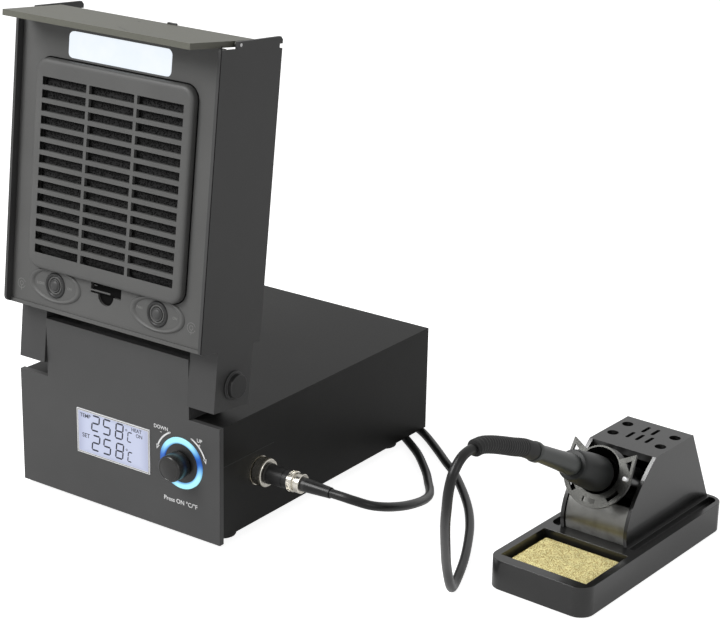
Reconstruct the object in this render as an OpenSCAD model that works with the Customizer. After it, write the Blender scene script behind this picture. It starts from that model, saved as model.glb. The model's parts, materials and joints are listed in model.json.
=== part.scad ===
// Soldering station with a fold-down fume extractor head, a plug-in iron and a separate iron stand.
// X runs to the right along the control panel, Y runs back, Z is up. The table is z = 0.

/* [Station case] */
// Width of the front panel
case_w = 172; // [160:1:220]
// Depth of the case, from the panel's front face to the back
case_d = 237.6; // [232:0.1:300]
// Height of the front panel's shoulders above the table
shoulder_h = 84; // [80:0.5:110]
// Height of the front panel's lower edge above the table
panel_foot = 3; // [2:0.5:5]
// Thickness of the front panel
panel_t = 4; // [3.5:0.5:5]
// Thickness of the sheet metal
sheet_t = 1; // [0.8:0.1:1.5]
// How far the cover's sheet stands back from the panel's outline
cover_inset = 0.8; // [0.4:0.1:1.5]
// Height of the rubber feet
foot_h = 6.6; // [6.5:0.1:12]
// Diameter of the rubber feet
foot_d = 20; // [14:1:24]
// Distance of the feet from the sides of the case
foot_side = 15; // [13:1:30]
// Distance of the front feet behind the panel's front face
foot_front = 21; // [17:1:50]
// Distance of the rear feet from the back of the case
foot_rear = 32.6; // [20:0.1:50]

/* [Hinge tower] */
// Height of the raised middle of the front panel
tower_h = 125.1; // [124:0.1:128]
// Gap between the tower and the head's ears
ear_gap = 0.35; // [0.3:0.05:1]
// Depth of the tower, from the panel's front face
tower_d = 33.3; // [28:0.1:34]
// Wall of the tower
tower_wall = 2.5; // [2:0.5:4]
// Distance of the hinge axis behind the panel's front face
pivot_y = 16.8; // [16:0.1:18]
// Height of the hinge axis above the panel's shoulders
pivot_rise = 24.4; // [24.4:0.1:27]
// Radius of the hinge pins
pin_r = 4; // [3:0.25:5]
// Radial clearance of the hinge pins in the head's ears
pin_play = 0.05; // [0.02:0.01:0.1]

/* [Controls] */
// Width of the display window
lcd_w = 63.8; // [50:0.1:70]
// Height of the display window
lcd_h = 31.9; // [25:0.1:40]
// Height of the display's middle above the table
lcd_z = 52.8; // [45:0.1:60]
// Gap between the display and the lit ring
lcd_gap = 8.7; // [4:0.1:14]
// Distance of the knob's axis from the panel's right edge
knob_inset = 31.6; // [28:0.1:36]
// Height of the knob's axis above the table
knob_z = 52.5; // [45:0.1:60]
// Diameter of the knob
knob_d = 18; // [14:0.5:22]
// How far the knob's front stands out from the panel
knob_out = 13; // [11:0.5:18]
// Travel of the knob when it is pressed
knob_travel = 0.8; // [0.5:0.1:1.2]
// Outer diameter of the lit ring round the knob
ring_d = 35; // [32:0.5:40]
// Width of the lit ring
ring_w = 4; // [3:0.5:5]

/* [Head] */
// Angle by which the head leans back from upright
lean = 6.5; // [0:0.5:20]
// Width over the head's side cheeks
head_w = 166.7; // [155:0.1:171]
// Thickness of a side cheek
cheek_t = 2; // [1.5:0.5:3]
// Reach of the cheeks in front of the hinge axis
head_front = 35.4; // [33:0.1:45]
// Reach of the head behind the hinge axis
head_back = 24.9; // [22:0.1:24.9]
// Height of the head above the hinge axis
head_h = 219; // [215:0.5:221]
// Height of the head's underside above the hinge axis
head_gap = 24.4; // [24.1:0.1:28]
// How far the face stands back from the cheeks' front edges
face_recess = 5.2; // [4:0.1:8]
// Thickness of the face and of the housing's walls
shell_t = 2.5; // [2:0.5:3]
// Width of each ear that hangs down to the hinge
ear_w = 22; // [18:0.5:24]
// Half depth of an ear
ear_half = 17.5; // [14:0.5:18]
// Reach of the ears below the hinge axis
ear_drop = 16; // [12:0.5:16.2]

/* [Extractor] */
// Width of the filter cover
grille_w = 129.2; // [120:0.1:140]
// Height of the filter cover
grille_h = 139.2; // [130:0.1:142]
// Height of the filter cover's lower edge above the hinge axis
grille_z = 49.6; // [46:0.1:54]
// How far the filter cover stands out from the face
grille_out = 5.3; // [3:0.1:7]
// Corner radius of the filter cover
grille_r = 9; // [4:0.5:14]
// Number of slots in a column of the filter cover
slot_rows = 14; // [8:1:18]
// Number of columns of slots
slot_cols = 3; // [2:1:5]
// Height of one slot
slot_h = 5.4; // [3:0.1:5.6]
// Thickness of the foam filter
foam_t = 8; // [5:0.5:10]
// Side of the fan's square frame
fan_size = 120; // [80:10:120]
// Thickness of the fan
fan_t = 25; // [15:1:25]
// Width of the lamp's window
lamp_w = 84.4; // [60:0.1:100]
// Height of the lamp's window
lamp_h = 17.3; // [12:0.1:18]
// Gap between the filter cover and the lamp's window
lamp_gap = 1.85; // [1:0.05:3.5]
// Distance of each push button from the head's middle
button_x = 43.3; // [36:0.1:50]
// Height of the push buttons above the hinge axis
button_z = 42.4; // [41:0.1:43.5]
// Diameter of a push button's cap
button_d = 9; // [7:0.5:11]
// Travel of a push button
button_travel = 1.2; // [0.8:0.1:1.6]
// Reach of the visor in front of the hinge axis
visor_front = 55.5; // [50:0.5:60]
// Width of the visor at its front edge
visor_front_w = 152; // [140:0.5:158]
// Thickness of the visor's lips
visor_t = 3.8; // [3:0.1:4]

/* [Iron plug] */
// Distance of the socket behind the panel's front face
socket_y = 38.7; // [30:0.1:50]
// Height of the socket above the table
socket_z = 43.2; // [35:0.1:50]
// Radius of the plug's body
plug_r = 6.5; // [6:0.1:7]
// Diameter of the iron's cord
cord_d = 6; // [5:0.1:6.2]

/* [Iron stand] */
// Distance of the stand's front left corner from the case's left side
stand_x = 333.4; // [320:0.1:360]
// Distance of the stand's front left corner behind the panel's face
stand_y = 62.4; // [40:0.1:80]
// Angle by which the stand is turned to the right
stand_turn = 2.65; // [0:0.05:5]
// Width of the stand's base
stand_w = 72.5; // [68:0.5:90]
// Length of the stand's base
stand_l = 171; // [170:0.5:190]
// Height of the stand's base
stand_h = 21; // [19:0.5:22]
// Corner radius of the stand's base
stand_r = 10; // [6:0.5:12]
// Wall of the stand's base
stand_wall = 3; // [2:0.25:4]
// Width of the stand's tower
holder_w = 49; // [46:0.5:54]
// Height of the stand's tower above the table
holder_h = 73; // [70:0.5:76]
// Angle at which the iron lies in the stand
iron_tilt = 28.2; // [26:0.1:30]
// Width of the sponge
sponge_w = 56; // [50:0.5:60]
// Length of the sponge
sponge_l = 43; // [38:0.5:45]
// Thickness of the sponge
sponge_t = 8; // [6:0.5:9]

/* [Hidden] */

$fn = 48;
seat = 0.2;                          // gap round a piece that is set into another by hand
run_gap = 0.3;                       // gap between pieces that move past each other
snug = 0.02;                         // gap of a pin or tube in the part that holds it
play = 0.05;                         // gap of a pin or shaft in the part that turns on it
mid = case_w / 2;
axis_z = shoulder_h + pivot_rise;    // height of the hinge axis
cover_top = shoulder_h - cover_inset;
notch_w = (case_w - head_w) / 2 + ear_w + ear_gap;      // notch beside the panel's raised middle

// ---- Frames ----

// A frame whose origin is the hinge axis at the head's middle, leaning with the head.
module in_head() { translate([mid, pivot_y, axis_z]) rotate([-lean, 0, 0]) children(); }

// A frame whose origin is the stand's front left corner.
module in_stand() { translate([stand_x, stand_y, 0]) rotate([0, 0, -stand_turn]) children(); }

// The iron's axis: z runs down the iron towards its tip, and y runs away from the top.
iron_y = 60;
iron_z = 67.9;
module along_iron() {
    in_stand() translate([stand_w / 2, iron_y, iron_z]) rotate([-(90 + iron_tilt), 0, 0]) children();
}

// The plug's axis: z runs out of the case's right side.
module along_plug(out = 0) {
    translate([case_w - cover_inset + out, socket_y, socket_z]) rotate([0, 90, 0]) children();
}

// Turns z to point back, along +Y.
module backward() { rotate([-90, 0, 0]) children(); }

// ---- Shapes used more than once ----

// Rounded rectangle centred on the origin, made of true arcs.
module round_rect(w, h, r) {
    square([w - 2 * r, h], center = true);
    square([w, h - 2 * r], center = true);
    for (sx = [-1, 1], sy = [-1, 1]) translate([sx * (w / 2 - r), sy * (h / 2 - r)]) circle(r);
}

// Plate that stands in the XZ plane and runs back from y = 0 by t.
module upright(t) { translate([0, t, 0]) rotate([90, 0, 0]) linear_extrude(t) children(); }

module ring(r_out, r_in, h) difference() {
    cylinder(r = r_out, h = h);
    translate([0, 0, -1]) cylinder(r = r_in, h = h + 2);
}

// ---- Station case ----

board_y = 10.5;                      // front face of the control board
board_t = 1.6;
board_w = 148;
board_h = 64;
board_z = 14;
knob_x = case_w - knob_inset;
lcd_x = knob_x - ring_d / 2 - lcd_gap - lcd_w / 2;
neck_r = 3.5;                        // threaded neck of the encoder
shaft_r = 3;
groove = 2.5;                        // depth of the lit ring's groove

module board_corners() {
    for (x = [mid - board_w / 2 + 6, mid + board_w / 2 - 6], z = [board_z + 6, board_z + board_h - 6])
        translate([x, 0, z]) backward() children();
}

module front_panel() color([0.28, 0.28, 0.28]) difference() {
    union() {
        upright(panel_t) {
            translate([0, panel_foot]) square([case_w, shoulder_h - panel_foot]);
            translate([notch_w, panel_foot]) square([case_w - 2 * notch_w, tower_h - panel_foot]);
        }
        board_corners() translate([0, 0, panel_t]) cylinder(r = 3.5, h = board_y - panel_t);
    }
    translate([lcd_x - lcd_w / 2, -1, lcd_z - lcd_h / 2]) cube([lcd_w, panel_t + 2, lcd_h]);
    translate([knob_x, -1, knob_z]) backward() {
        cylinder(r = neck_r + 0.1, h = panel_t + 2);
        ring(ring_d / 2 + 0.15, ring_d / 2 - ring_w - 0.15, groove + 1);
    }
}

module display_window() color([0.85, 0.87, 0.95])
    translate([lcd_x - lcd_w / 2 + seat, -0.3, lcd_z - lcd_h / 2 + seat])
        cube([lcd_w - 2 * seat, 2, lcd_h - 2 * seat]);

module display_module() color([0.8, 0.82, 0.9])
    translate([lcd_x - lcd_w / 2 + 1, 1.7, lcd_z - lcd_h / 2 + 1])
        cube([lcd_w - 2, board_y - 1.7, lcd_h - 2]);

module control_board() color([0.1, 0.35, 0.2]) difference() {
    translate([mid - board_w / 2, board_y, board_z]) cube([board_w, board_t, board_h]);
    board_corners() translate([0, 0, board_y - 1]) cylinder(r = 1.3, h = 4);
}

encoder_side = 12.5;
shaft_end = board_y - 2;             // bottom of the encoder's bore

module encoder_body() color([0.55, 0.56, 0.58]) translate([knob_x, 0, knob_z]) difference() {
    union() {
        translate([-encoder_side / 2, panel_t, -encoder_side / 2])
            cube([encoder_side, board_y - panel_t, encoder_side]);
        translate([0, -1, 0]) backward() cylinder(r = neck_r, h = panel_t + 2);
    }
    translate([0, -2, 0]) backward() cylinder(r = shaft_r - 0.5 + play, h = shaft_end + 2);
}

// The part of the shaft in the encoder is thinner than the part in the knob.
module encoder_shaft() color([0.7, 0.71, 0.73]) translate([knob_x, 0, knob_z]) backward() {
    translate([0, 0, 1.6 - knob_out]) cylinder(r = shaft_r, h = knob_out - 1.6 - 1 - knob_travel - run_gap);
    translate([0, 0, -3]) cylinder(r = shaft_r - 0.5, h = shaft_end - knob_travel - run_gap + 3);
}

module control_knob() color([0.12, 0.12, 0.13]) translate([knob_x, 0, knob_z]) rotate([90, 0, 0])
    difference() {
        rotate_extrude() polygon([[0, 1.6], [knob_d / 2, 1.6], [knob_d / 2, knob_out - 1],
            [knob_d / 2 - 1, knob_out], [0, knob_out]]);
        cylinder(r = shaft_r + play, h = knob_out - 1.6 + snug);
        cylinder(r = neck_r + 0.8, h = 3.2);
    }

module knob_light_ring() color([0.45, 0.8, 1]) translate([knob_x, -0.6, knob_z]) backward()
    ring(ring_d / 2, ring_d / 2 - ring_w, groove + 0.6);

cover_in = cover_inset + sheet_t;    // inner face of the cover, from the case's side
rear_t = 1.5;
tray_lip = 14;
socket_r = 7.9;
tab = 12;                            // side of each tab that takes a case screw
tab_z = [foot_h + tray_lip + 3, cover_top - sheet_t - tab];

module case_cover() color([0.23, 0.23, 0.23]) difference() {
    union() {
        difference() {
            translate([cover_inset, panel_t, foot_h - 0.3])
                cube([case_w - 2 * cover_inset, case_d - panel_t, cover_top - foot_h + 0.3]);
            translate([cover_in, panel_t - 1, -1])
                cube([case_w - 2 * cover_in, case_d + 2, cover_top - sheet_t + 1]);
        }
        for (x = [cover_in - 0.1, case_w - cover_in - tab + 0.1], z = tab_z)
            translate([x, case_d - rear_t - sheet_t, z]) cube([tab, sheet_t, tab]);
    }
    translate([mid - 30, panel_t + 6, cover_top - 5]) cube([60, 14, 10]);
    along_plug(-5) cylinder(r = socket_r + 0.1, h = 10);
    screw_places() translate([0, 0, -6]) cylinder(r = 1.5 + snug, h = 8);
}

// The case screws at the back, one in each tab of the cover.
module screw_places() {
    for (x = [cover_in + tab / 2, case_w - cover_in - tab / 2], z = tab_z)
        translate([x, case_d, z + tab / 2]) backward() children();
}

module case_screws() color([0.15, 0.15, 0.16]) screw_places() {
    cylinder(r1 = 2.9, r2 = 2.2, h = 1.6);
    translate([0, 0, -5]) cylinder(r = 1.5, h = 5);
}

module base_tray() color([0.2, 0.2, 0.2]) difference() {
    translate([cover_in + snug, panel_t, foot_h])
        cube([case_w - 2 * cover_in - 2 * snug, case_d - panel_t - rear_t, tray_lip]);
    translate([cover_in + sheet_t, panel_t - 1, foot_h + sheet_t])
        cube([case_w - 2 * (cover_in + sheet_t), case_d, tray_lip]);
}

module rear_panel() color([0.16, 0.16, 0.16]) difference() {
    translate([cover_in + snug, case_d - rear_t, foot_h])
        cube([case_w - 2 * cover_in - 2 * snug, rear_t, cover_top - sheet_t - snug - foot_h]);
    translate([inlet_x - inlet_w / 2, case_d - 5, inlet_z - inlet_h / 2]) cube([inlet_w, 10, inlet_h]);
    screw_places() translate([0, 0, -5]) cylinder(r = 1.6, h = 10);
    for (i = [0 : 7], j = [0 : 3])
        translate([34 + i * 10, case_d - 5, 30 + j * 11]) backward() cylinder(r = 2.2, h = 10);
}

module case_feet() color([0.1, 0.1, 0.1])
    for (x = [foot_side, case_w - foot_side], y = [foot_front, case_d - foot_rear]) translate([x, y, 0])
        difference() {
            cylinder(r1 = foot_d / 2 - 1, r2 = foot_d / 2, h = foot_h);
            translate([0, 0, -1]) cylinder(r = 2.5, h = 3.5);
        }

// ---- Mains inlet, switch and the parts inside the case ----

inlet_x = case_w - 38;               // inlet and switch share one moulded unit
inlet_z = 45;
inlet_w = 27.5;
inlet_h = 47;
inlet_depth = 26;
inlet_flange = 1.6;
rocker_r = 7.2;
rocker_z = 10.5;                     // height of the switch's well above the unit's middle
rocker_y = -3.7;                     // rocker's axis, from the case's back

module mains_inlet() color([0.09, 0.09, 0.09]) translate([inlet_x, case_d, inlet_z]) difference() {
    union() {
        translate([seat / 2 - inlet_w / 2, -inlet_depth, seat / 2 - inlet_h / 2])
            cube([inlet_w - seat, inlet_depth, inlet_h - seat]);
        upright(inlet_flange) round_rect(inlet_w + 5, inlet_h + 5, 2.5);
    }
    difference() {
        translate([-12, -15, -20]) cube([24, 20, 16]);
        for (x = [-7, 0, 7]) translate([x - 1, -16, x == 0 ? -10 : -14]) cube([2, 13, 4]);
    }
    translate([-9, -14, rocker_z - rocker_r - run_gap]) cube([18, 20, 2 * (rocker_r + run_gap)]);
    translate([-11, rocker_y, rocker_z]) rotate([0, 90, 0]) cylinder(r = 1.5 + play, h = 22);
}

// The rocker turns on two stub pins; one half is pressed in and the other stands out.
module power_rocker() color([0.55, 0.06, 0.05])
    translate([inlet_x, case_d + rocker_y, inlet_z + rocker_z]) rotate([0, 90, 0]) {
        translate([0, 0, -8.5]) linear_extrude(17) rotate(-8) intersection() {
            circle(r = rocker_r);
            polygon([[-9, -4], [9, -4], [9, 5.1], [0, 3.3], [-9, 5.1]]);
        }
        translate([0, 0, -10.5]) cylinder(r = 1.5, h = 21);
    }

floor_z = foot_h + sheet_t;          // inner face of the tray's floor

core_x = 52;
core_back = 66;                      // distance of the transformer's middle from the case's back
core_r = 34;
core_bore = 11;
core_h = 40;
core_bolt_r = 4;
core_plate_r = 20;
core_plate_t = 2;

module power_transformer() color([0.5, 0.4, 0.25]) translate([core_x, case_d - core_back, floor_z]) {
    ring(core_r, core_bore, core_h);
    cylinder(r = core_bolt_r, h = core_h + core_plate_t);
    translate([0, 0, core_h]) cylinder(r = core_plate_r, h = core_plate_t);
}

pcb_x = case_w - 72;
pcb_y = 62;
pcb_w = 60;
pcb_l = 96;
pcb_z = floor_z + 6;

module pcb_corners() {
    for (x = [pcb_x + 4, pcb_x + pcb_w - 4], y = [pcb_y + 4, pcb_y + pcb_l - 4])
        translate([x, y, pcb_z]) children();
}

module main_board() color([0.1, 0.35, 0.2]) difference() {
    union() {
        translate([pcb_x, pcb_y, pcb_z]) cube([pcb_w, pcb_l, board_t]);
        translate([pcb_x, pcb_y, pcb_z + board_t]) {
            translate([14, 16, 0]) cube([30, 5, 26]);
            for (k = [0 : 2]) translate([15 + k * 15, 36, 0]) cylinder(r = 5, h = 18);
            translate([10, 54, 0]) cube([18, 15, 15]);
            translate([36, 58, 0]) cube([14, 10, 4]);
            translate([12, 78, 0]) cube([32, 10, 9]);
        }
    }
    pcb_corners() translate([0, 0, -1]) cylinder(r = 1.5 + play, h = 4);
}

module board_standoffs() color([0.75, 0.7, 0.5]) pcb_corners() {
    translate([0, 0, floor_z - pcb_z]) cylinder(r = 2.8, h = pcb_z - floor_z);
    cylinder(r = 1.5, h = board_t);
    translate([0, 0, board_t]) cylinder(r = 2.8, h = 2);
}

// ---- Hinge tower ----

tower_in = notch_w + tower_wall;     // inner face of the tower's side, from the case's side
half_head = head_w / 2;
cap_start = half_head + run_gap;     // inner face of a hinge cap, from the middle
cap_out = 4.9;
pin_head = 6;

module hinge_tower() color([0.26, 0.26, 0.26]) difference() {
    translate([notch_w, panel_t, cover_top])
        cube([case_w - 2 * notch_w, tower_d - panel_t, tower_h - cover_top]);
    translate([tower_in, panel_t - 1, cover_top - 1])
        cube([case_w - 2 * tower_in, tower_d - panel_t - tower_wall + 1,
            tower_h - cover_top - tower_wall + 1]);
    translate([-1, pivot_y, axis_z]) rotate([0, 90, 0]) cylinder(r = pin_r + snug, h = case_w + 2);
}

// Hinge axis: z runs out of the head's side, on the left and on the right.
module hinge_sides() {
    for (s = [-1, 1]) translate([mid, pivot_y, axis_z]) rotate([0, s * 90, 0]) children();
}

// A pin on each side, from its head inside the tower to the cap outside the ear.
module hinge_pins() color([0.7, 0.7, 0.72]) hinge_sides() translate([0, 0, mid - tower_in - pin_head]) {
    cylinder(r = pin_r, h = cap_start - mid + tower_in + pin_head);
    cylinder(r = pin_r + 3, h = pin_head - snug);
}

module hinge_caps() color([0.1, 0.1, 0.1]) hinge_sides() translate([0, 0, cap_start]) {
    cylinder(r = 9.5, h = 1.2);
    cylinder(r = 8, h = cap_out);
}

// ---- Iron socket and plug ----

flange_t = 2.5;
ring_start = 3;                      // coupling ring, from the case's side
ring_len = 7.3;
clamp_start = 24;
clamp_len = 17;
sleeve_end = 59.8;                   // where the cord leaves the sleeve
spigot_r = plug_r - 1.2;

module iron_socket() color([0.2, 0.2, 0.2]) along_plug() difference() {
    union() {
        cylinder(r = socket_r + 2, h = flange_t);
        translate([0, 0, -14]) cylinder(r = socket_r, h = 15);
        cylinder(r = spigot_r, h = 8);
    }
    translate([0, 0, 4]) cylinder(r = spigot_r - 1, h = 5);
}

module socket_nut() color([0.75, 0.75, 0.77]) along_plug(-sheet_t - 3) difference() {
    cylinder(r = socket_r + 3.2, h = 3, $fn = 6);
    translate([0, 0, -1]) cylinder(r = socket_r + snug, h = 5);
}

module plug_body() color([0.08, 0.08, 0.08]) along_plug() difference() {
    union() {
        translate([0, 0, flange_t + play]) cylinder(r = plug_r, h = clamp_start - flange_t - play);
        translate([0, 0, ring_start + ring_len + run_gap]) cylinder(r = plug_r + 0.5, h = 1.5);
    }
    translate([0, 0, 2]) cylinder(r = spigot_r + play, h = 6.3);
}

module plug_coupling_ring() color([0.8, 0.78, 0.7]) along_plug(ring_start)
    ring(plug_r + 2.9, plug_r + play, ring_len);

module plug_clamp() color([0.82, 0.82, 0.84]) along_plug(clamp_start) {
    cylinder(r = plug_r + 1.3, h = 9);
    translate([0, 0, 9]) cylinder(r = plug_r - 0.3, h = 3);
    translate([0, 0, 12]) cylinder(r = plug_r + 0.5, h = clamp_len - 12);
}

module plug_sleeve() color([0.08, 0.08, 0.08]) along_plug(clamp_start + clamp_len)
    cylinder(r1 = 4.6, r2 = cord_r + 0.6, h = sleeve_end - clamp_start - clamp_len);

// ---- The iron's cord ----

function unit(v) = v / norm(v);

collar_t = -79.5;                    // back end of the handle, along the iron's axis
// Boot behind the handle: straight at first, then drooping to where the cord comes out.
boot_start = [0, iron_y + collar_t * cos(iron_tilt), iron_z - collar_t * sin(iron_tilt)];
boot_route = [for (p = [[0, 0], [-12 * cos(iron_tilt), 12 * sin(iron_tilt)], [-22, 10.1], [-33, 14.6],
    [-44, 18.8],
    [-54, 21.8], [-62, 22.3]]) boot_start + [0, p[0], p[1]]];

// Point p of the stand's middle plane in the table's frame.
function stand_point(p) = [stand_x + (p[0] + stand_w / 2) * cos(stand_turn) + p[1] * sin(stand_turn),
    stand_y - (p[0] + stand_w / 2) * sin(stand_turn) + p[1] * cos(stand_turn), p[2]];
boot_end = stand_point(boot_route[len(boot_route) - 1]);
boot_dir = unit(boot_end - stand_point(boot_route[len(boot_route) - 2]));

cord_r = cord_d / 2;
cord_exit = [case_w - cover_inset + sleeve_end, socket_y, socket_z];
coil_x = 70;
coil_y = 290;
coil_r = 33;                         // middle of the turns
tie_t = 0.8;                         // thickness of the tie, which lifts the coil

// Route from the plug to the coil.
front_route = [
    cord_exit, cord_exit + [9, 0, 0], [248, 41, 41.8], [256, 47.5, 38.5], [260, 60, 34], [260.5, 77, 28.5],
    [258, 95, 23], [252, 115, 16.5], [244, 133, 11], [234, 149, 6.5], [225, 161, 4.2], [215, 174, 3.1],
    [204, 186, 3.1], [190, 200, 3.1], [175, 212, 3.1], [160, 223, 3.1], [146, 233, 3.1],
    [132, 240.3, 3.1], [117, 245.5, 3.1], [101, 248, 3.1], [84, 248.4, 3.1], [70, 249.2, 3.3],
    [58, 255, 3.6], [49, 262, 4]];

// Route from the coil to the iron's strain relief.
rear_route = [
    [102, 299, 4.2], [105, 289, 4], [109, 277.5, 3.5], [116, 266.5, 3.1], [126, 257.5, 3.1],
    [138, 250.5, 3.1], [151, 244.5, 3.1], [162, 239.5, 3.1], [171.5, 234, 3.1], [180, 228, 3.1],
    [189.5, 220.5, 3.1], [201, 211, 3.1], [214, 200, 3.1], [229, 187, 3.1],
    [247, 170, 3.1], [262, 153, 3.1], [275, 135, 3.1], [286, 116, 3.1], [296, 95, 3.1], [304, 77, 3.1],
    [312, 58, 3.1], [318, 44, 4], [324.8, 29.6, 14.6], [333, 12.3, 34], [342.9, -4.3, 55.9],
    [354.2, -20.7, 79.4], [360.7, -32.6, 95.7], [362.8, -35.5, 108.3], [364.1, -33.1, 117.7],
    [365, -27.9, 123.9], [365.7, -21.5, 127.2], boot_end + 4.6 * boot_dir, boot_end + run_gap * boot_dir];

function spline(a, b, c, d, t) = 0.5 * ((2 * b) + (c - a) * t + (2 * a - 5 * b + 4 * c - d) * t * t
    + (3 * b - a - 3 * c + d) * t * t * t);
// Points on a smooth curve through the points of p, with n steps between neighbours.
function smooth(p, n) = [for (i = [0 : len(p) - 2], k = [0 : n - 1])
    spline(p[max(i - 1, 0)], p[i], p[i + 1], p[min(i + 2, len(p) - 1)], k / n), p[len(p) - 1]];
function tangent(p, i) = unit(p[min(i + 1, len(p) - 1)] - p[max(i - 1, 0)]);
// Side vectors carried along the curve, so that the tube doesn't twist.
function carried(p, i, last) = let (t = tangent(p, i), v = unit(last - (last * t) * t))
    i == len(p) - 1 ? [v] : concat([v], carried(p, i + 1, v));

// Tube along points p; its radius runs evenly from r1 to r2.
module tube(p, r1, r2, sides) {
    n = len(p);
    side = carried(p, 0, unit(cross(tangent(p, 0), [0.1, 0.2, 1])));
    points = [for (i = [0 : n - 1], k = [0 : sides - 1])
        let (a = 360 * k / sides, t = tangent(p, i), r = r1 + (r2 - r1) * i / (n - 1))
        p[i] + r * (cos(a) * side[i] + sin(a) * cross(t, side[i]))];
    walls = [for (i = [0 : n - 2], k = [0 : sides - 1])
        let (a = i * sides + k, b = i * sides + (k + 1) % sides)
        each [[a, a + sides, b], [b, a + sides, b + sides]]];
    caps = [[for (k = [0 : sides - 1]) k], [for (k = [sides - 1 : -1 : 0]) (n - 1) * sides + k]];
    polyhedron(points, concat(walls, caps), convexity = 8);
}

module iron_cord_front() color([0.1, 0.1, 0.1]) tube(smooth(front_route, 2), cord_r, cord_r, 8);

module iron_cord_rear() color([0.1, 0.1, 0.1]) tube(smooth(rear_route, 2), cord_r, cord_r, 8);

// Two turns side by side with another lying on them.
module coil_section(grow) translate([coil_r - cord_d - grow, tie_t - grow])
    square([2 * (cord_d + grow), 1.87 * cord_d + 2 * grow]);

module iron_cord_coil() color([0.1, 0.1, 0.1]) translate([coil_x, coil_y, 0]) rotate_extrude()
    coil_section(0);

module cord_tie() color([0.15, 0.15, 0.16]) translate([coil_x, coil_y, 0]) intersection() {
    difference() {
        rotate_extrude() coil_section(tie_t);
        rotate_extrude() coil_section(snug);
    }
    rotate([0, 0, 70]) translate([coil_r, 0, coil_r / 2 - 1]) cube([coil_r, 9, coil_r], center = true);
}

// ---- Head ----

cheek_r = 4.5;                       // lower front corner of a cheek
ledge_v = -19.4;                     // where the cheek's top edge steps up, behind the hinge axis
visor_top = head_h - 1.3;
ledge_h = visor_top - visor_t - 0.6;
hook = 2.8;                          // notch in the cheek's rear edge
inner_half = half_head - cheek_t;
ear_in = half_head - ear_w;          // inner face of an ear, from the middle
ear_wall = 2.5;
face_v = face_recess - head_front;   // front of the face
face_top = visor_top - visor_t - seat;
vent_top = head_h - 14.5;            // plate with vents under the visor
lamp_z = grille_z + grille_h + lamp_gap + lamp_h / 2;  // lamp's middle
set_in = 0.1;                        // gap beside the plates between the cheeks

// Side outline of a cheek, with the front on the left.
module cheek_outline() difference() {
    union() {
        translate([cheek_r - head_front, head_gap + cheek_r]) circle(cheek_r);
        polygon([[-head_front, head_gap + cheek_r], [cheek_r - head_front, head_gap], [-ear_half, head_gap],
            [-ear_half, -ear_drop], [ear_half, -ear_drop], [ear_half, head_gap], [head_back, head_gap],
            [head_back, head_h - 2], [head_back - 2, head_h], [ledge_v, visor_top], [ledge_v, ledge_h],
            [-head_front, ledge_h]]);
    }
    translate([head_back - hook, head_h - 4.5 - hook]) square([hook + 1, hook]);
}

// Cheek with its hollow ear; side is 1 on the right and -1 on the left.
module cheek(side) in_head() mirror([side > 0 ? 0 : 1, 0, 0]) difference() {
    union() {
        translate([inner_half, 0, 0]) rotate([90, 0, 90]) linear_extrude(cheek_t) cheek_outline();
        translate([ear_in, -ear_half, -ear_drop])
            cube([ear_w - 1, 2 * ear_half, ear_drop + head_gap - snug]);
    }
    translate([ear_in + ear_wall, ear_wall - ear_half, ear_wall - ear_drop])
        cube([ear_w - ear_wall - cheek_t, 2 * (ear_half - ear_wall), ear_drop + head_gap]);
    translate([ear_in - 1, 0, 0]) rotate([0, 90, 0]) cylinder(r = pin_r + pin_play, h = ear_w + 2);
    translate([0, visor_pin_v, visor_pin_w]) rotate([0, 90, 0]) cylinder(r = visor_pin_r + snug, h = head_w);
}

module left_cheek() color([0.28, 0.28, 0.28]) cheek(-1);
module right_cheek() color([0.28, 0.28, 0.28]) cheek(1);

catch_w = 25.5;                      // recess of the filter cover's catch
catch_drop = 5;
eye_w = 22.5;                        // half width of the rim round a button
eye_h = 13;

// Overlap of two arcs, w half long and h half high.
module lens(w, h) {
    r = (w * w + h * h) / (2 * h);
    intersection() {
        translate([0, r - h]) circle(r, $fn = 96);
        translate([0, h - r]) circle(r, $fn = 96);
    }
}

module face_panel() color([0.42, 0.42, 0.41]) in_head() difference() {
    translate([0, face_v, 0]) union() {
        translate([set_in - inner_half, 0, head_gap + shell_t])
            cube([2 * (inner_half - set_in), shell_t, face_top - head_gap - shell_t]);
        for (s = [-1, 1]) translate([s * button_x, -0.7, button_z]) upright(1) difference() {
            lens(eye_w, eye_h);
            lens(eye_w - 2.4, eye_h - 1.6);
            translate([-eye_w, grille_z - button_z - 0.4]) square(2 * eye_w);
        }
    }
    translate([0, face_v - 2, lamp_z]) upright(shell_t + 4) round_rect(lamp_w, lamp_h, 4);
    translate([0, face_v - 2, grille_z + grille_h / 2]) upright(shell_t + 4)
        round_rect(grille_w - 9, grille_h - 9, 5);
    for (s = [-1, 1]) translate([s * button_x, face_v - 2, button_z]) backward()
        cylinder(r = button_d / 2 + run_gap, h = 10);
    translate([-catch_w / 2, face_v - 2, grille_z - catch_drop])
        cube([catch_w, shell_t + 4, catch_drop + 7]);
    translate([0, face_v - 2, grille_z - catch_drop]) backward() cylinder(r = 6.5, h = shell_t + 4);
}

fan_v = face_v + shell_t + foam_t + 0.1;
fan_w = grille_z + grille_h / 2;
fan_bolt = fan_size / 2 - 7.5;

module fan_corners() {
    for (x = [-fan_bolt, fan_bolt], z = [-fan_bolt, fan_bolt]) translate([x, 0, fan_w + z]) backward()
        children();
}

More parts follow.
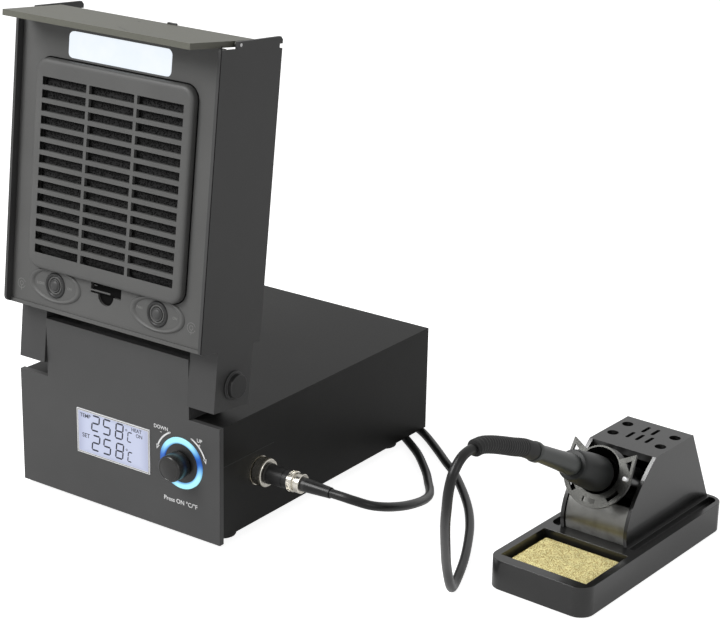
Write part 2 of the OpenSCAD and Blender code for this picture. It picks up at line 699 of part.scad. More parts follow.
module head_housing() color([0.2, 0.2, 0.2]) in_head() difference() {
    union() {
        for (p = [[face_v - 0.8, head_gap, head_back - face_v + 0.8, shell_t],
            [head_back - shell_t, head_gap, shell_t, vent_top - head_gap],
            [face_v + shell_t, vent_top - shell_t, head_back - face_v - shell_t, shell_t]])
            translate([set_in - inner_half, p[0], p[1]]) cube([2 * (inner_half - set_in), p[2], p[3]]);
        fan_corners() translate([0, 0, fan_v + fan_t + snug])
            cylinder(r = 4, h = head_back - fan_v - fan_t - 1);
    }
    for (i = [0 : 11]) translate([0, head_back - 5, fan_w - 49.5 + i * 9]) upright(10)
        round_rect(fan_size - 32, 4, 1.9);
    for (i = [-7 : 7]) translate([i * 10, 8, vent_top - 5]) linear_extrude(10) round_rect(3.4, 20, 1.6);
    for (s = [-1, 1]) translate([s * (half_head - 16), 5, head_gap - 1]) cylinder(r = 4, h = 6);
}

module lamp_lens() color([0.95, 0.97, 1]) in_head() translate([0, face_v - 0.2, lamp_z]) upright(shell_t - 1)
    round_rect(lamp_w - 2 * seat, lamp_h - 2 * seat, 4 - seat);

// The lamp's board rests on the back of the face, with its row of lamps behind the lens.
module lamp_board() color([0.9, 0.9, 0.88]) in_head() translate([0, face_v + shell_t, lamp_z]) {
    translate([-lamp_w / 2 - 4, 0, 0.5 - lamp_h / 2])
        cube([lamp_w + 8, board_t, vent_top - shell_t - lamp_z + lamp_h / 2 - 0.7]);
    for (i = [0 : 7]) translate([(i - 3.5) * lamp_w / 8.4 - 1.7, -0.8, -4]) cube([3.5, 1, 3.5]);
}

slot_area_w = grille_w - 13.2;
slot_area_h = grille_h - 25.1;
rib = 2.4;
slot_w = (slot_area_w - (slot_cols - 1) * rib) / slot_cols;
slot_pitch = (slot_area_h - slot_h) / (slot_rows - 1);
slot_z = grille_z + 13.3 - 5.4 + slot_h;

// The cover hangs on its top edge and is caught by a tongue at the bottom.
module filter_cover() color([0.36, 0.36, 0.36]) in_head() difference() {
    union() {
        translate([0, face_v - grille_out, grille_z + grille_h / 2]) upright(grille_out - seat)
            round_rect(grille_w, grille_h, grille_r);
        translate([3.5 - catch_w / 2, face_v - seat - 1, grille_z - catch_drop + 1])
            cube([catch_w - 7, 2, catch_drop]);
    }
    for (c = [0 : slot_cols - 1], r = [0 : slot_rows - 1])
        translate([c * (slot_w + rib) - slot_area_w / 2, face_v - grille_out - 1, slot_z + r * slot_pitch])
            cube([slot_w, grille_out + 2, slot_h]);
    translate([0, face_v - grille_out + 2.6, grille_z + grille_h / 2]) upright(grille_out)
        round_rect(grille_w - 8, grille_h - 12, grille_r - 4);
}

module foam_filter() color([0.12, 0.12, 0.12]) in_head()
    translate([2 - grille_w / 2, face_v + shell_t, grille_z + 3])
    cube([grille_w - 4, foam_t, grille_h - 6]);

hub_r = 19;

module fan_frame() color([0.08, 0.08, 0.08]) in_head() translate([0, fan_v, fan_w]) backward() {
    difference() {
        linear_extrude(fan_t) round_rect(fan_size, fan_size, 5);
        translate([0, 0, -1]) cylinder(r = fan_size / 2 - 2.5, h = fan_t + 2);
        for (x = [-fan_bolt, fan_bolt], z = [-fan_bolt, fan_bolt]) translate([x, z, -1])
            cylinder(r = 2.2, h = fan_t - 2);
    }
    difference() {
        union() {
            translate([0, 0, fan_t - 3]) cylinder(r = hub_r, h = 3);
            translate([0, 0, 8]) cylinder(r = 4, h = fan_t - 9);
            for (a = [45 : 90 : 315]) rotate([0, 0, a]) translate([hub_r - 2, -3, fan_t - 3])
                cube([fan_size / 2 - hub_r, 6, 3]);
        }
        translate([0, 0, 7]) cylinder(r = 2 + play, h = fan_t - 8.5);
    }
}

module fan_rotor() color([0.15, 0.15, 0.15]) in_head() translate([0, fan_v + 1.5, fan_w]) backward() {
    rotor_h = fan_t - 4.5 - run_gap;
    difference() {
        union() {
            cylinder(r = hub_r, h = rotor_h);
            for (k = [0 : 6]) rotate([0, 0, k * 360 / 7]) translate([hub_r - 3, 0, rotor_h / 2])
                rotate([35, 0, 0])
                translate([0, -11, -0.8]) cube([fan_size / 2 - hub_r - 2, 22, 1.6]);
        }
        translate([0, 0, 2.5]) cylinder(r = hub_r - 2.5, h = fan_t);
    }
    cylinder(r = 2, h = rotor_h - 2);
}

switch_h = 3.5;                      // height of a push switch on its board
button_back = face_v + shell_t + 7;  // front face of the button board

module button_board() color([0.1, 0.35, 0.2]) in_head() {
    translate([-button_x - 14, button_back, button_z - 9]) cube([2 * button_x + 28, board_t, 18]);
    for (s = [-1, 1], z = [-7, 7]) translate([s * (button_x + 11), face_v + shell_t, button_z + z])
        backward()
        cylinder(r = 1.6, h = button_back - face_v - shell_t + 0.1);
    for (s = [-1, 1]) translate([s * button_x - 3, button_back - switch_h, button_z - 3])
        cube([6, switch_h + 0.1, 6]);
}

// Button cap: a dome with a collar behind the face that keeps it in, and a stem to its switch.
module button(s) in_head() translate([s * button_x, face_v, button_z]) backward() {
    collar = shell_t + run_gap;
    translate([0, 0, -1.8]) rotate_extrude()
        polygon([[0, 0], [button_d / 2 - 1.2, 0], [button_d / 2 - 0.3, 0.5],
        [button_d / 2, 1.2], [button_d / 2, collar + 2], [0, collar + 2]]);
    translate([0, 0, collar]) cylinder(r = button_d / 2 + 1.5, h = 1);
    translate([0, 0, collar]) cylinder(r = 2.5, h = 7 - switch_h - 2 * run_gap - button_travel);
}
module left_button() color([0.15, 0.15, 0.15]) button(-1);
module right_button() color([0.15, 0.15, 0.15]) button(1);

visor_pin_v = ledge_v + 3.2;
visor_pin_w = visor_top - 2;
visor_pin_r = 1.1;
visor_back = 2.2;
visor_lip = 1.5;
visor_back_w = 2 * (inner_half - 0.5);

module visor_plan(inset, back) polygon([[inset - visor_front_w / 2, inset - visor_front],
    [visor_front_w / 2 - inset, inset - visor_front], [visor_back_w / 2 - inset, back],
        [inset - visor_back_w / 2, back]]);

module visor() color([0.5, 0.51, 0.47]) in_head() difference() {
    union() {
        difference() {
            translate([0, 0, visor_top - visor_t]) linear_extrude(visor_t) visor_plan(0, visor_back);
            translate([0, 0, visor_top - visor_t - 1]) linear_extrude(visor_t)
                visor_plan(visor_lip, visor_back + 1);
        }
        for (s = [-1, 1]) translate([0, visor_pin_v, visor_pin_w]) rotate([0, s * 90, 0])
            translate([0, 0, inner_half - 6]) cylinder(r = 1.9, h = 6 - run_gap);
    }
    translate([-head_w, visor_pin_v, visor_pin_w]) rotate([0, 90, 0])
        cylinder(r = visor_pin_r + play, h = 2 * head_w);
}

module visor_pins() color([0.75, 0.75, 0.77]) in_head() for (s = [-1, 1])
    translate([0, visor_pin_v, visor_pin_w]) rotate([0, s * 90, 0]) translate([0, 0, inner_half - 5])
        cylinder(r = visor_pin_r, h = cheek_t + 5);

// ---- Iron stand ----

pad_h = 1;                           // how far the stand's feet lift its base
tray_depth = 12;
tray_y = 8;
foot_y = 66;                         // front of the tower's foot
tower_wall_x = 2.5;                  // wall of the stand's tower
tower_x = (stand_w - holder_w) / 2;  // left side of the tower
roof_z = stand_h - tray_depth - 2.5; // underside of the base's floor

module stand_outline(inset) translate([stand_w / 2, stand_l / 2])
    round_rect(stand_w - 2 * inset, stand_l - 2 * inset, stand_r - inset * 0.8);

module stand_base() color([0.16, 0.16, 0.16]) in_stand() difference() {
    translate([0, 0, pad_h]) linear_extrude(stand_h - pad_h) stand_outline(0);
    translate([0, 0, -1]) linear_extrude(roof_z + 1) stand_outline(stand_wall);
    translate([tower_x + 4, foot_y + 6, -1]) cube([holder_w - 8, stand_l - foot_y - 24, stand_h - 5]);
    translate([(stand_w - sponge_w) / 2 - 3, tray_y, stand_h - tray_depth])
        cube([sponge_w + 6, sponge_l + 6, tray_depth + 1]);
    // gutter round the tower
    translate([0, 0, stand_h - 4]) linear_extrude(6) difference() {
        translate([stand_w / 2, (stand_l + foot_y) / 2 - 1.5])
            round_rect(stand_w - 2 * stand_wall - 1, stand_l - foot_y - 2 * stand_wall + 3, 5);
        translate([tower_x - 1.5, foot_y - 4]) square([holder_w + 3, stand_l]);
    }
}

module stand_feet() color([0.1, 0.1, 0.1]) in_stand()
    for (x = [stand_wall + 6, stand_w - stand_wall - 6], y = [stand_wall + 7, stand_l - stand_wall - 7])
        translate([x, y, 0]) cylinder(r = 5.5, h = roof_z);

// Side outline of the tower: a hollow curved front, a flat top and a sloping back.
brow_y = foot_y + 29;                // front edge of the tower's top
rise = holder_h - stand_h;
function bow(a, b, c, d, t) =
    a * pow(1 - t, 3) + 3 * b * t * pow(1 - t, 2) + 3 * c * t * t * (1 - t) + d * t * t * t;
function front_curve(in, top) = [for (k = [0 : 10]) if (bow(0, 0.3, 0.62, 1, k / 10) <= top)
    [bow(foot_y, foot_y - 5, brow_y - 24, brow_y, k / 10) + in,
        stand_h + rise * bow(0, 0.3, 0.62, 1, k / 10)]];

module tower_profile(in) polygon(concat(front_curve(in, 1),
    [[foot_y + 76 - in, holder_h], [stand_l - 3 - in, stand_h],
    [stand_l - 3 - in, stand_h - (in > 0 ? 1 : 0)], [foot_y + in, stand_h - (in > 0 ? 1 : 0)]]));

tip_holes_x = 17.6;                  // distance of the tip holes from the middle
tip_holes_y = [112, 130.3];
tip_hole_r = 3.7;

module stand_tower() color([0.16, 0.16, 0.16]) in_stand() difference() {
    union() {
        difference() {
            translate([tower_x, 0, 0]) rotate([90, 0, 90]) linear_extrude(holder_w) tower_profile(0);
            translate([tower_x + tower_wall_x, 0, -tower_wall_x]) rotate([90, 0, 90])
                linear_extrude(holder_w - 2 * tower_wall_x) tower_profile(tower_wall_x);
            translate([tower_x + tower_wall_x, foot_y - 10, stand_h - 1])
                cube([holder_w - 2 * tower_wall_x, brow_y - foot_y + 10, rise + 2]);
        }
        // rods that carry the iron's holder
        stand_holder_screws() translate([0, 0, ring_t + 2 + snug]) cylinder(r = 2.6, h = 34);
    }
    for (x = [-tip_holes_x, tip_holes_x], y = tip_holes_y)
        translate([stand_w / 2 + x, y, holder_h - 5]) cylinder(r = tip_hole_r, h = 10);
    for (x = [-7, 0, 7]) translate([stand_w / 2 + x, 116.2, holder_h - 5]) linear_extrude(10)
        round_rect(2.4, 10.4, 1.1);
    for (x = [-3.5, 3.5]) translate([stand_w / 2 + x, 129.8, holder_h - 5]) linear_extrude(10)
        round_rect(2.4, 10.4, 1.1);
    stand_holder_screws() translate([0, 0, ring_t]) cylinder(r = 1.3 + snug, h = 14);
}

// Glossy guard between the tower's side walls.
module stand_shield() color([0.24, 0.24, 0.24]) in_stand() translate([tower_x + tower_wall_x + seat, 0, 0])
    rotate([90, 0, 90]) linear_extrude(holder_w - 2 * (tower_wall_x + seat))
        polygon(concat(front_curve(1.2, 0.5),
        [for (p = [len(front_curve(2.8, 0.5)) - 1 : -1 : 0]) front_curve(2.8, 0.5)[p]]));

module cleaning_sponge() color([0.93, 0.86, 0.6]) in_stand()
    translate([(stand_w - sponge_w) / 2, tray_y + 3, stand_h - tray_depth])
        cube([sponge_w, sponge_l, sponge_t]);

nut_r = 7;                           // nut that holds the iron's barrel
ring_t = 5.7;                        // where the holder's plate crosses the iron's axis
lift = 2.1;                          // how far the holder's axis lies above the iron's
ring_r = 23.9;
screw_x = 20.2;                      // screws that carry the holder, from the iron's axis
screw_n = 1.9;
hub_out = 16;
hub_len = 10.3;
tube_r = nut_r + lift + seat;        // bore of the holder's tube
tube_len = 46;

// The two screws that hold the holder, along its axis, seen from the stand's frame.
module stand_holder_screws() for (s = [-1, 1]) translate([stand_w / 2, iron_y, iron_z])
    rotate([-(90 + iron_tilt), 0, 0]) translate([s * screw_x, -screw_n, 0]) children();

// Plate with an ear on each side at the top, and behind it the hub with its cone-shaped seat.
// Here y runs down.
plate_t = 2;
mouth_r = 15;
module holder_ring() color([0.55, 0.55, 0.56]) along_iron() translate([0, -lift, ring_t]) difference() {
    union() {
        intersection() {
            cylinder(r = ring_r, h = plate_t);
            translate([-ring_r - 1, -1, -1]) cube([2 * ring_r + 2, ring_r + 2, plate_t + 2]);
        }
        for (s = [-1, 1]) linear_extrude(plate_t)
            polygon([[s * 10, -9.5], [s * 22.5, -16.2], [s * 23.3, -2.5], [s * 23.3, 3], [s * 12, 3]]);
        cylinder(r = hub_out, h = hub_len);
    }
    rotate_extrude() polygon([[0, -1], [mouth_r, -1], [mouth_r, 0.6], [tube_r, mouth_r - tube_r + 0.6],
        [tube_r, hub_len - 3], [tube_r + 1 + snug, hub_len - 3], [tube_r + 1 + snug, hub_len + 1],
            [0, hub_len + 1]]);
    for (s = [-1, 1]) {
        translate([0, 0, -1]) linear_extrude(plate_t + 2)
            polygon([[s * 17.2, -9.6], [s * 20.9, -11.9], [s * 21.3, -4.2]]);
        translate([s * screw_x, lift - screw_n, -1]) cylinder(r = 1.5, h = plate_t + 2);
    }
    for (a = [40 : 50 : 140]) rotate(a) translate([18, -4.5, -1]) cube([3, 9, plate_t + 2]);
}

module holder_tube() color([0.6, 0.6, 0.62]) along_iron() translate([0, -lift, ring_t + hub_len - 3 + snug])
    ring(tube_r + 1, tube_r, tube_len);

module holder_screws() color([0.8, 0.8, 0.8]) in_stand() stand_holder_screws() {
    translate([0, 0, ring_t]) cylinder(r = 1.3, h = 12);
    translate([0, 0, ring_t - 1.6]) cylinder(r1 = 1.4, r2 = 2.2, h = 1.6);
}

// ---- Iron ----

grip_t = -29;
grip_end = 10;

module iron_handle() color([0.42, 0.42, 0.42]) along_iron() rotate_extrude() polygon([
    [0, collar_t], [6.1, collar_t], [6.4, collar_t + 1], [6.4, collar_t + 4], [5.7, collar_t + 4.5],
    [6.2, collar_t + 15], [7.5, grip_t - 12], [8, grip_t - 3], [8.5, grip_t - 2], [8.5, grip_t],
        [0, grip_t]]);

module iron_grip() color([0.4, 0.4, 0.4]) along_iron() rotate_extrude() polygon([
    [0, grip_t], [8.5, grip_t], [9.2, grip_t + 6], [10.2, grip_t + 14], [11.2, grip_t + 22],
        [11.7, grip_t + 29],
    [11.6, grip_end - 5], [10.6, grip_end - 1.6], [9, grip_end], [0, grip_end]]);

module iron_barrel() color([0.75, 0.75, 0.77]) along_iron() difference() {
    union() {
        translate([0, 0, grip_end]) cylinder(r1 = 8.2, r2 = nut_r, h = 1.2);
        translate([0, 0, grip_end + 1.2]) cylinder(r = nut_r, h = 18.8);
        translate([0, 0, grip_end + 19]) cylinder(r = 3.6, h = 27);
    }
    translate([0, 0, grip_end + 10]) cylinder(r = 2.1, h = 50);
}

module iron_heater() color([0.9, 0.88, 0.85]) along_iron() translate([0, 0, grip_end + 10])
    cylinder(r = 2, h = 46);

module iron_tip() color([0.7, 0.62, 0.5]) along_iron() translate([0, 0, grip_end + 46]) difference() {
    union() {
        cylinder(r = 3.3, h = 16);
        translate([0, 0, 16]) cylinder(r1 = 3.3, r2 = 0.5, h = 12);
    }
    translate([0, 0, -1]) cylinder(r = 2.1, h = 11.2);
}

module iron_strain_relief() color([0.2, 0.2, 0.2])
    tube([for (p = smooth(boot_route, 2)) stand_point(p)], 5.8, 5.2, 12);

// ---- The model, centred on its own outline ----

outline_left = mid - cap_start - cap_out;
outline_right = stand_x + (stand_w - stand_r) * cos(stand_turn) + (stand_l - stand_r) * sin(stand_turn) +
    stand_r;
outline_front = min(-knob_out, pivot_y - (head_front - cheek_r) * cos(lean)
    + (head_gap + cheek_r) * sin(lean) - cheek_r);
outline_back = case_d + inlet_flange;

module placed() {
    translate([-(outline_left + outline_right) / 2, -(outline_front + outline_back) / 2, 0]) children();
}

placed() front_panel();
placed() case_cover();
placed() base_tray();
placed() rear_panel();
placed() case_feet();
placed() case_screws();
placed() hinge_tower();
placed() hinge_pins();
placed() hinge_caps();
placed() display_window();
placed() display_module();
placed() control_board();
placed() encoder_body();
placed() encoder_shaft();
placed() control_knob();
placed() knob_light_ring();
placed() power_transformer();
placed() main_board();
placed() board_standoffs();
placed() mains_inlet();
placed() power_rocker();
placed() iron_socket();
placed() socket_nut();
placed() plug_body();
placed() plug_coupling_ring();
placed() plug_clamp();
placed() plug_sleeve();
placed() iron_cord_front();
placed() iron_cord_coil();
placed() iron_cord_rear();
placed() cord_tie();
placed() left_cheek();
placed() right_cheek();
placed() face_panel();
placed() head_housing();
placed() lamp_lens();
placed() lamp_board();
placed() filter_cover();
placed() foam_filter();
placed() fan_frame();
placed() fan_rotor();
placed() button_board();
placed() left_button();
placed() right_button();
placed() visor();
placed() visor_pins();
placed() stand_base();
placed() stand_tower();
placed() stand_shield();
placed() stand_feet();
placed() cleaning_sponge();
placed() holder_ring();
placed() holder_tube();
placed() holder_screws();
placed() iron_handle();
placed() iron_grip();
placed() iron_barrel();
placed() iron_heater();
placed() iron_tip();
placed() iron_strain_relief();
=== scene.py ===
"""Dresses the soldering station: finishes, lettering, display, cord, sponge and small detail pieces.

Lengths in the sub-assemblies' classes are millimetres in the frame of each sub-assembly. A frame is a
matrix that takes such a point to metres in the shared frame. The studio's lengths are metres.
"""

import json
import logging
import math
from dataclasses import dataclass, field
from enum import Enum
from typing import Any, Callable, Optional, Sequence, Union

import bmesh
import bpy
from mathutils import Matrix, Vector, noise


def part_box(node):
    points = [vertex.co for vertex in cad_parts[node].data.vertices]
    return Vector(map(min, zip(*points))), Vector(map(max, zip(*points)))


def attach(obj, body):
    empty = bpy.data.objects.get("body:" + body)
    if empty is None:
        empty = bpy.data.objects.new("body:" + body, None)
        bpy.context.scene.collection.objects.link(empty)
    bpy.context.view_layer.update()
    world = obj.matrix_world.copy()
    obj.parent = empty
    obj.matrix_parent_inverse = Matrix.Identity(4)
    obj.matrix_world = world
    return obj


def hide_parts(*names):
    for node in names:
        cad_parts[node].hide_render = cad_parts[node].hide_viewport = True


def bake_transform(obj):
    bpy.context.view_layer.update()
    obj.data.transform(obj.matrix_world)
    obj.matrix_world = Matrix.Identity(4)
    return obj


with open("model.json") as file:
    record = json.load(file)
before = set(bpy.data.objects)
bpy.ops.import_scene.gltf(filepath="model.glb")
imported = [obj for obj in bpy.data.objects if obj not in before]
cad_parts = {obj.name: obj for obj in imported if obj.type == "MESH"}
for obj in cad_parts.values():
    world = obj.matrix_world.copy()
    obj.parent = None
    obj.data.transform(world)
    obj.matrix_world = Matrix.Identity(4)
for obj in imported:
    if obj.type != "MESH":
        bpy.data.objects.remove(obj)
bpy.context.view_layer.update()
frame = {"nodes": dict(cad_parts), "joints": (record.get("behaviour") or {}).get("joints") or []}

logging.basicConfig(level=logging.INFO, format="%(name)s: %(message)s")
log = logging.getLogger("station")

Colour = tuple[float, float, float]
Point = tuple[float, float, float]
MM = Matrix.Scale(0.001, 4)
TURN = 2 * math.pi
CAPITAL_SHARE = 0.7  # height of a capital in the font, as a share of its size
ROUNDED_ABOVE = 32  # a CAD node's edges sharper than this many degrees are rounded
SHADED_BELOW = 75  # and those below this many shade smoothly


class Body(str, Enum):
    """The moving groups that pieces ride on."""

    STATION = "station"
    HEAD = "head"
    VISOR = "visor_flap"
    DOOR = "filter_door"
    LEFT = "left_push"
    RIGHT = "right_push"
    KNOB = "knob"
    RING = "coupling_ring"
    SWITCH = "mains_switch"
    SPONGE = "sponge"
    IRON = "iron"


# ---------------------------------------------------------------- shaders


class Wire:
    """A shader socket that takes part in Python arithmetic."""

    def __init__(self, graph: "Graph", socket: bpy.types.NodeSocket) -> None:
        """Wraps socket, an output in graph."""
        self.graph = graph
        self.socket = socket

    def _join(self, operation: str, first: Any, second: Any) -> "Wire":
        """Returns a Math node's output for two values or wires."""
        return self.graph.node("ShaderNodeMath", {"operation": operation}, {0: first, 1: second})

    def __add__(self, other: Any) -> "Wire":
        """Returns self + other."""
        return self._join("ADD", self, other)

    __radd__ = __add__

    def __sub__(self, other: Any) -> "Wire":
        """Returns self - other."""
        return self._join("SUBTRACT", self, other)

    def __rsub__(self, other: Any) -> "Wire":
        """Returns other - self."""
        return self._join("SUBTRACT", other, self)

    def __mul__(self, other: Any) -> "Wire":
        """Returns self * other."""
        return self._join("MULTIPLY", self, other)

    __rmul__ = __mul__

    def __truediv__(self, other: Any) -> "Wire":
        """Returns self / other."""
        return self._join("DIVIDE", self, other)

    def most(self, other: Any) -> "Wire":
        """Returns the larger of self and other."""
        return self._join("MAXIMUM", self, other)

    def between(self, low: float, high: float) -> "Wire":
        """Returns 0 below low, 1 above high, and a smooth step between them."""
        return self.graph.node(
            "ShaderNodeMapRange",
            {"interpolation_type": "SMOOTHSTEP"},
            {"Value": self, "From Min": low, "From Max": high},
        )


class Graph:
    """A material's node tree, built round one Principled shader."""

    def __init__(self, name: str, **uniform: Any) -> None:
        """Starts material name.

        Args:
            name: the material's name.
            uniform: values that are the same all over, by socket name with _ for a space.
        """
        self.material = bpy.data.materials.new(name)
        self.material.use_nodes = True
        self.tree = self.material.node_tree
        self.tree.nodes.clear()
        self.shader = self.tree.nodes.new("ShaderNodeBsdfPrincipled")
        end = self.tree.nodes.new("ShaderNodeOutputMaterial")
        self.tree.links.new(self.shader.outputs[0], end.inputs["Surface"])
        for key, value in uniform.items():
            self.feed(key.replace("_", " "), value)

    def feed(self, socket: str, value: Any) -> None:
        """Sets or links the shader's socket of that name."""
        self._put(self.shader.inputs[socket], value)

    def _put(self, socket: bpy.types.NodeSocket, value: Any) -> None:
        """Sets socket to a plain value, or links a wire to it."""
        if isinstance(value, Wire):
            self.tree.links.new(value.socket, socket)
        elif isinstance(value, tuple) and len(value) == 3 and socket.type == "RGBA":
            socket.default_value = (*value, 1.0)
        else:
            socket.default_value = value

    def node(
        self,
        kind: str,
        settings: Optional[dict[str, Any]] = None,
        inputs: Optional[dict[Union[int, str], Any]] = None,
        out: Union[int, str] = 0,
    ) -> Wire:
        """Adds a node.

        Args:
            kind: the node's type.
            settings: its properties; "stops" is a ramp's list of (place, colour).
            inputs: value or wire for each socket, by index or name.
            out: which output is wanted.

        Returns:
            The wanted output.
        """
        made = self.tree.nodes.new(kind)
        for key, value in (settings or {}).items():
            if key == "stops":
                ramp = made.color_ramp.elements
                while len(ramp) < len(value):
                    ramp.new(0.5)
                for element, (place, colour) in zip(ramp, value):
                    element.position = place
                    element.color = (*colour, 1.0)
            else:
                setattr(made, key, value)
        for key, value in (inputs or {}).items():
            self._put(made.inputs[key], value)
        return Wire(self, made.outputs[out])

    def place(self, scale: Point = (1, 1, 1), centre: Point = (0, 0, 0)) -> Wire:
        """Returns Object coordinates in metres, moved by -centre and then scaled."""
        spot = self.node("ShaderNodeTexCoord", out="Object")
        moved = self.node("ShaderNodeVectorMath", {"operation": "SUBTRACT"}, {0: spot, 1: centre})
        return self.node("ShaderNodeVectorMath", {"operation": "MULTIPLY"}, {0: moved, 1: scale})

    def axis(self, name: str, where: Wire) -> Wire:
        """Returns one coordinate, X, Y or Z, of a place."""
        return self.node("ShaderNodeSeparateXYZ", {}, {0: where}, out=name)

    def noise(self, size: float, detail: float = 2, where: Optional[Wire] = None) -> Wire:
        """Returns noise with features of about size millimetres."""
        spot = where or self.place()
        return self.node(
            "ShaderNodeTexNoise", {}, {"Vector": spot, "Scale": 1000 / size, "Detail": detail}
        )

    def cells(self, size: float, feature: str = "F1") -> Wire:
        """Returns the distance in a cell pattern with cells of about size millimetres."""
        spot = self.place()
        return self.node(
            "ShaderNodeTexVoronoi", {"feature": feature}, {"Vector": spot, "Scale": 1000 / size},
            out="Distance",
        )

    def mix(self, first: Any, second: Any, share: Any) -> Wire:
        """Returns the colour that goes from first to second as share goes from 0 to 1."""
        return self.node(
            "ShaderNodeMix", {"data_type": "RGBA"}, {0: share, 6: first, 7: second}, out=2
        )

    def ramp(self, share: Wire, *stops: tuple[float, Colour]) -> Wire:
        """Returns the colour of share along the stops."""
        return self.node("ShaderNodeValToRGB", {"stops": stops}, {0: share})

    def emboss(self, height: Wire, depth: float) -> None:
        """Bumps the surface by height times depth millimetres."""
        bump = self.node("ShaderNodeBump", {}, {"Height": height, "Distance": depth / 1000, "Strength": 1.0})
        self.feed("Normal", bump)


# ---------------------------------------------------------------- finishes


@dataclass(frozen=True)
class Moulded:
    """Injection-moulded plastic with a spark-eroded grain and slight unevenness in its colour."""

    name: str
    slot: str
    colour: Colour
    roughness: float = 0.5
    grain: float = 0.45
    depth: float = 0.03
    specular: float = 0.5

    def material(self) -> bpy.types.Material:
        """Returns the finish as a material."""
        g = Graph(self.name, Specular_IOR_Level=self.specular)
        cloud = g.noise(38, 3)
        fine = g.noise(self.grain, 2)
        tone = cloud * 0.16 + fine * 0.10 + 0.87
        pale = tuple(min(1.0, c * 1.18) for c in self.colour)
        dark = tuple(c * 0.78 for c in self.colour)
        g.feed("Base Color", g.mix(dark, pale, tone.between(0.86, 1.14)))
        g.feed("Roughness", fine * 0.12 + cloud * 0.1 + (self.roughness - 0.11))
        g.emboss(fine + g.noise(self.grain * 3, 1) * 0.5, self.depth)
        return g.material


@dataclass(frozen=True)
class Enamel:
    """Sprayed paint on sheet steel, with a soft orange-peel surface and a little dust."""

    name: str
    slot: str
    colour: Colour
    roughness: float = 0.4
    peel: float = 1.6
    depth: float = 0.02
    coat: float = 0.0
    specular: float = 0.5

    def material(self) -> bpy.types.Material:
        """Returns the finish as a material."""
        g = Graph(self.name, Coat_Weight=self.coat, Coat_Roughness=0.08, Specular_IOR_Level=self.specular)
        wave = g.noise(self.peel, 2)
        cloud = g.noise(55, 3)
        dust = g.noise(0.8, 1).between(0.72, 0.8)
        pale = tuple(min(1.0, c * 1.2 + 0.004) for c in self.colour)
        base = g.mix(self.colour, pale, cloud.between(0.35, 0.7))
        g.feed("Base Color", g.mix(base, (0.12, 0.12, 0.12), dust * 0.04))
        g.feed("Roughness", cloud * 0.1 + wave * 0.06 + (self.roughness - 0.08) + dust * 0.04)
        g.emboss(wave, self.depth)
        return g.material


@dataclass(frozen=True)
class Metal:
    """Turned or brushed metal, with fine tool marks and duller patches."""

    name: str
    slot: str
    colour: Colour
    roughness: float = 0.28
    stretch: Point = (1.0, 1.0, 12.0)
    heat: bool = False

    def material(self) -> bpy.types.Material:
        """Returns the finish as a material."""
        g = Graph(self.name, Metallic=1.0)
        marks = g.noise(0.5, 3, g.place(self.stretch))
        patch = g.noise(9, 3)
        dull = tuple(c * 0.72 for c in self.colour)
        tint = g.mix(self.colour, dull, patch.between(0.4, 0.75))
        if self.heat:
            tint = g.mix(tint, (0.32, 0.22, 0.12), g.noise(5, 2).between(0.45, 0.65) * 0.6)
        g.feed("Base Color", tint)
        g.feed("Roughness", marks * 0.2 + patch * 0.12 + (self.roughness - 0.14))
        g.emboss(marks, 0.012)
        return g.material


@dataclass(frozen=True)
class Rubber:
    """Silicone or rubber: dull, with a fine skin texture and faint smears."""

    name: str
    slot: str
    colour: Colour
    roughness: float = 0.62
    specular: float = 0.4

    def material(self) -> bpy.types.Material:
        """Returns the finish as a material."""
        g = Graph(self.name, Sheen_Weight=0.03, Sheen_Roughness=0.5, Specular_IOR_Level=self.specular)
        skin = g.noise(0.7, 3)
        smear = g.noise(14, 2)
        pale = tuple(c * 1.35 + 0.006 for c in self.colour)
        g.feed("Base Color", g.mix(self.colour, pale, smear.between(0.35, 0.75)))
        g.feed("Roughness", skin * 0.14 + smear * 0.1 + (self.roughness - 0.12))
        g.emboss(skin, 0.03)
        return g.material


@dataclass(frozen=True)
class Cellular:
    """Open-cell foam or sponge: pores of two sizes, whose darker bottoms are painted shade."""

    name: str
    slot: str
    wall: Colour
    pore_shade: Colour
    size: float
    depth: float

    def material(self) -> bpy.types.Material:
        """Returns the finish as a material."""
        g = Graph(self.name, Roughness=0.95, Specular_IOR_Level=0.2)
        small = g.cells(self.size).between(0.12, 0.55)
        large = g.cells(self.size * 2.7).between(0.1, 0.36)
        open_ = small * (large * 0.55 + 0.45)
        patch = g.noise(self.size * 9, 2)
        wall = g.mix(self.wall, tuple(c * 0.82 for c in self.wall), patch.between(0.35, 0.7))
        # the pore colour at the middle of each pore is painted shade; the same mask also drives the bump
        g.feed("Base Color", g.mix(self.pore_shade, wall, open_))
        g.emboss(open_, self.depth)
        return g.material


@dataclass(frozen=True)
class Lit:
    """A lit plastic part that glows, a little unevenly."""

    name: str
    slot: str
    glow: Colour
    edge: Colour
    strength: float = 1.0

    def material(self) -> bpy.types.Material:
        """Returns the finish as a material."""
        g = Graph(self.name, Roughness=0.35, Emission_Strength=self.strength)
        patch = g.noise(12, 2).between(0.25, 0.75)
        g.feed("Base Color", g.mix((0.02, 0.02, 0.02), (0.03, 0.03, 0.03), patch))
        g.feed("Emission Color", g.mix(self.edge, self.glow, patch * 0.5 + 0.5))
        return g.material


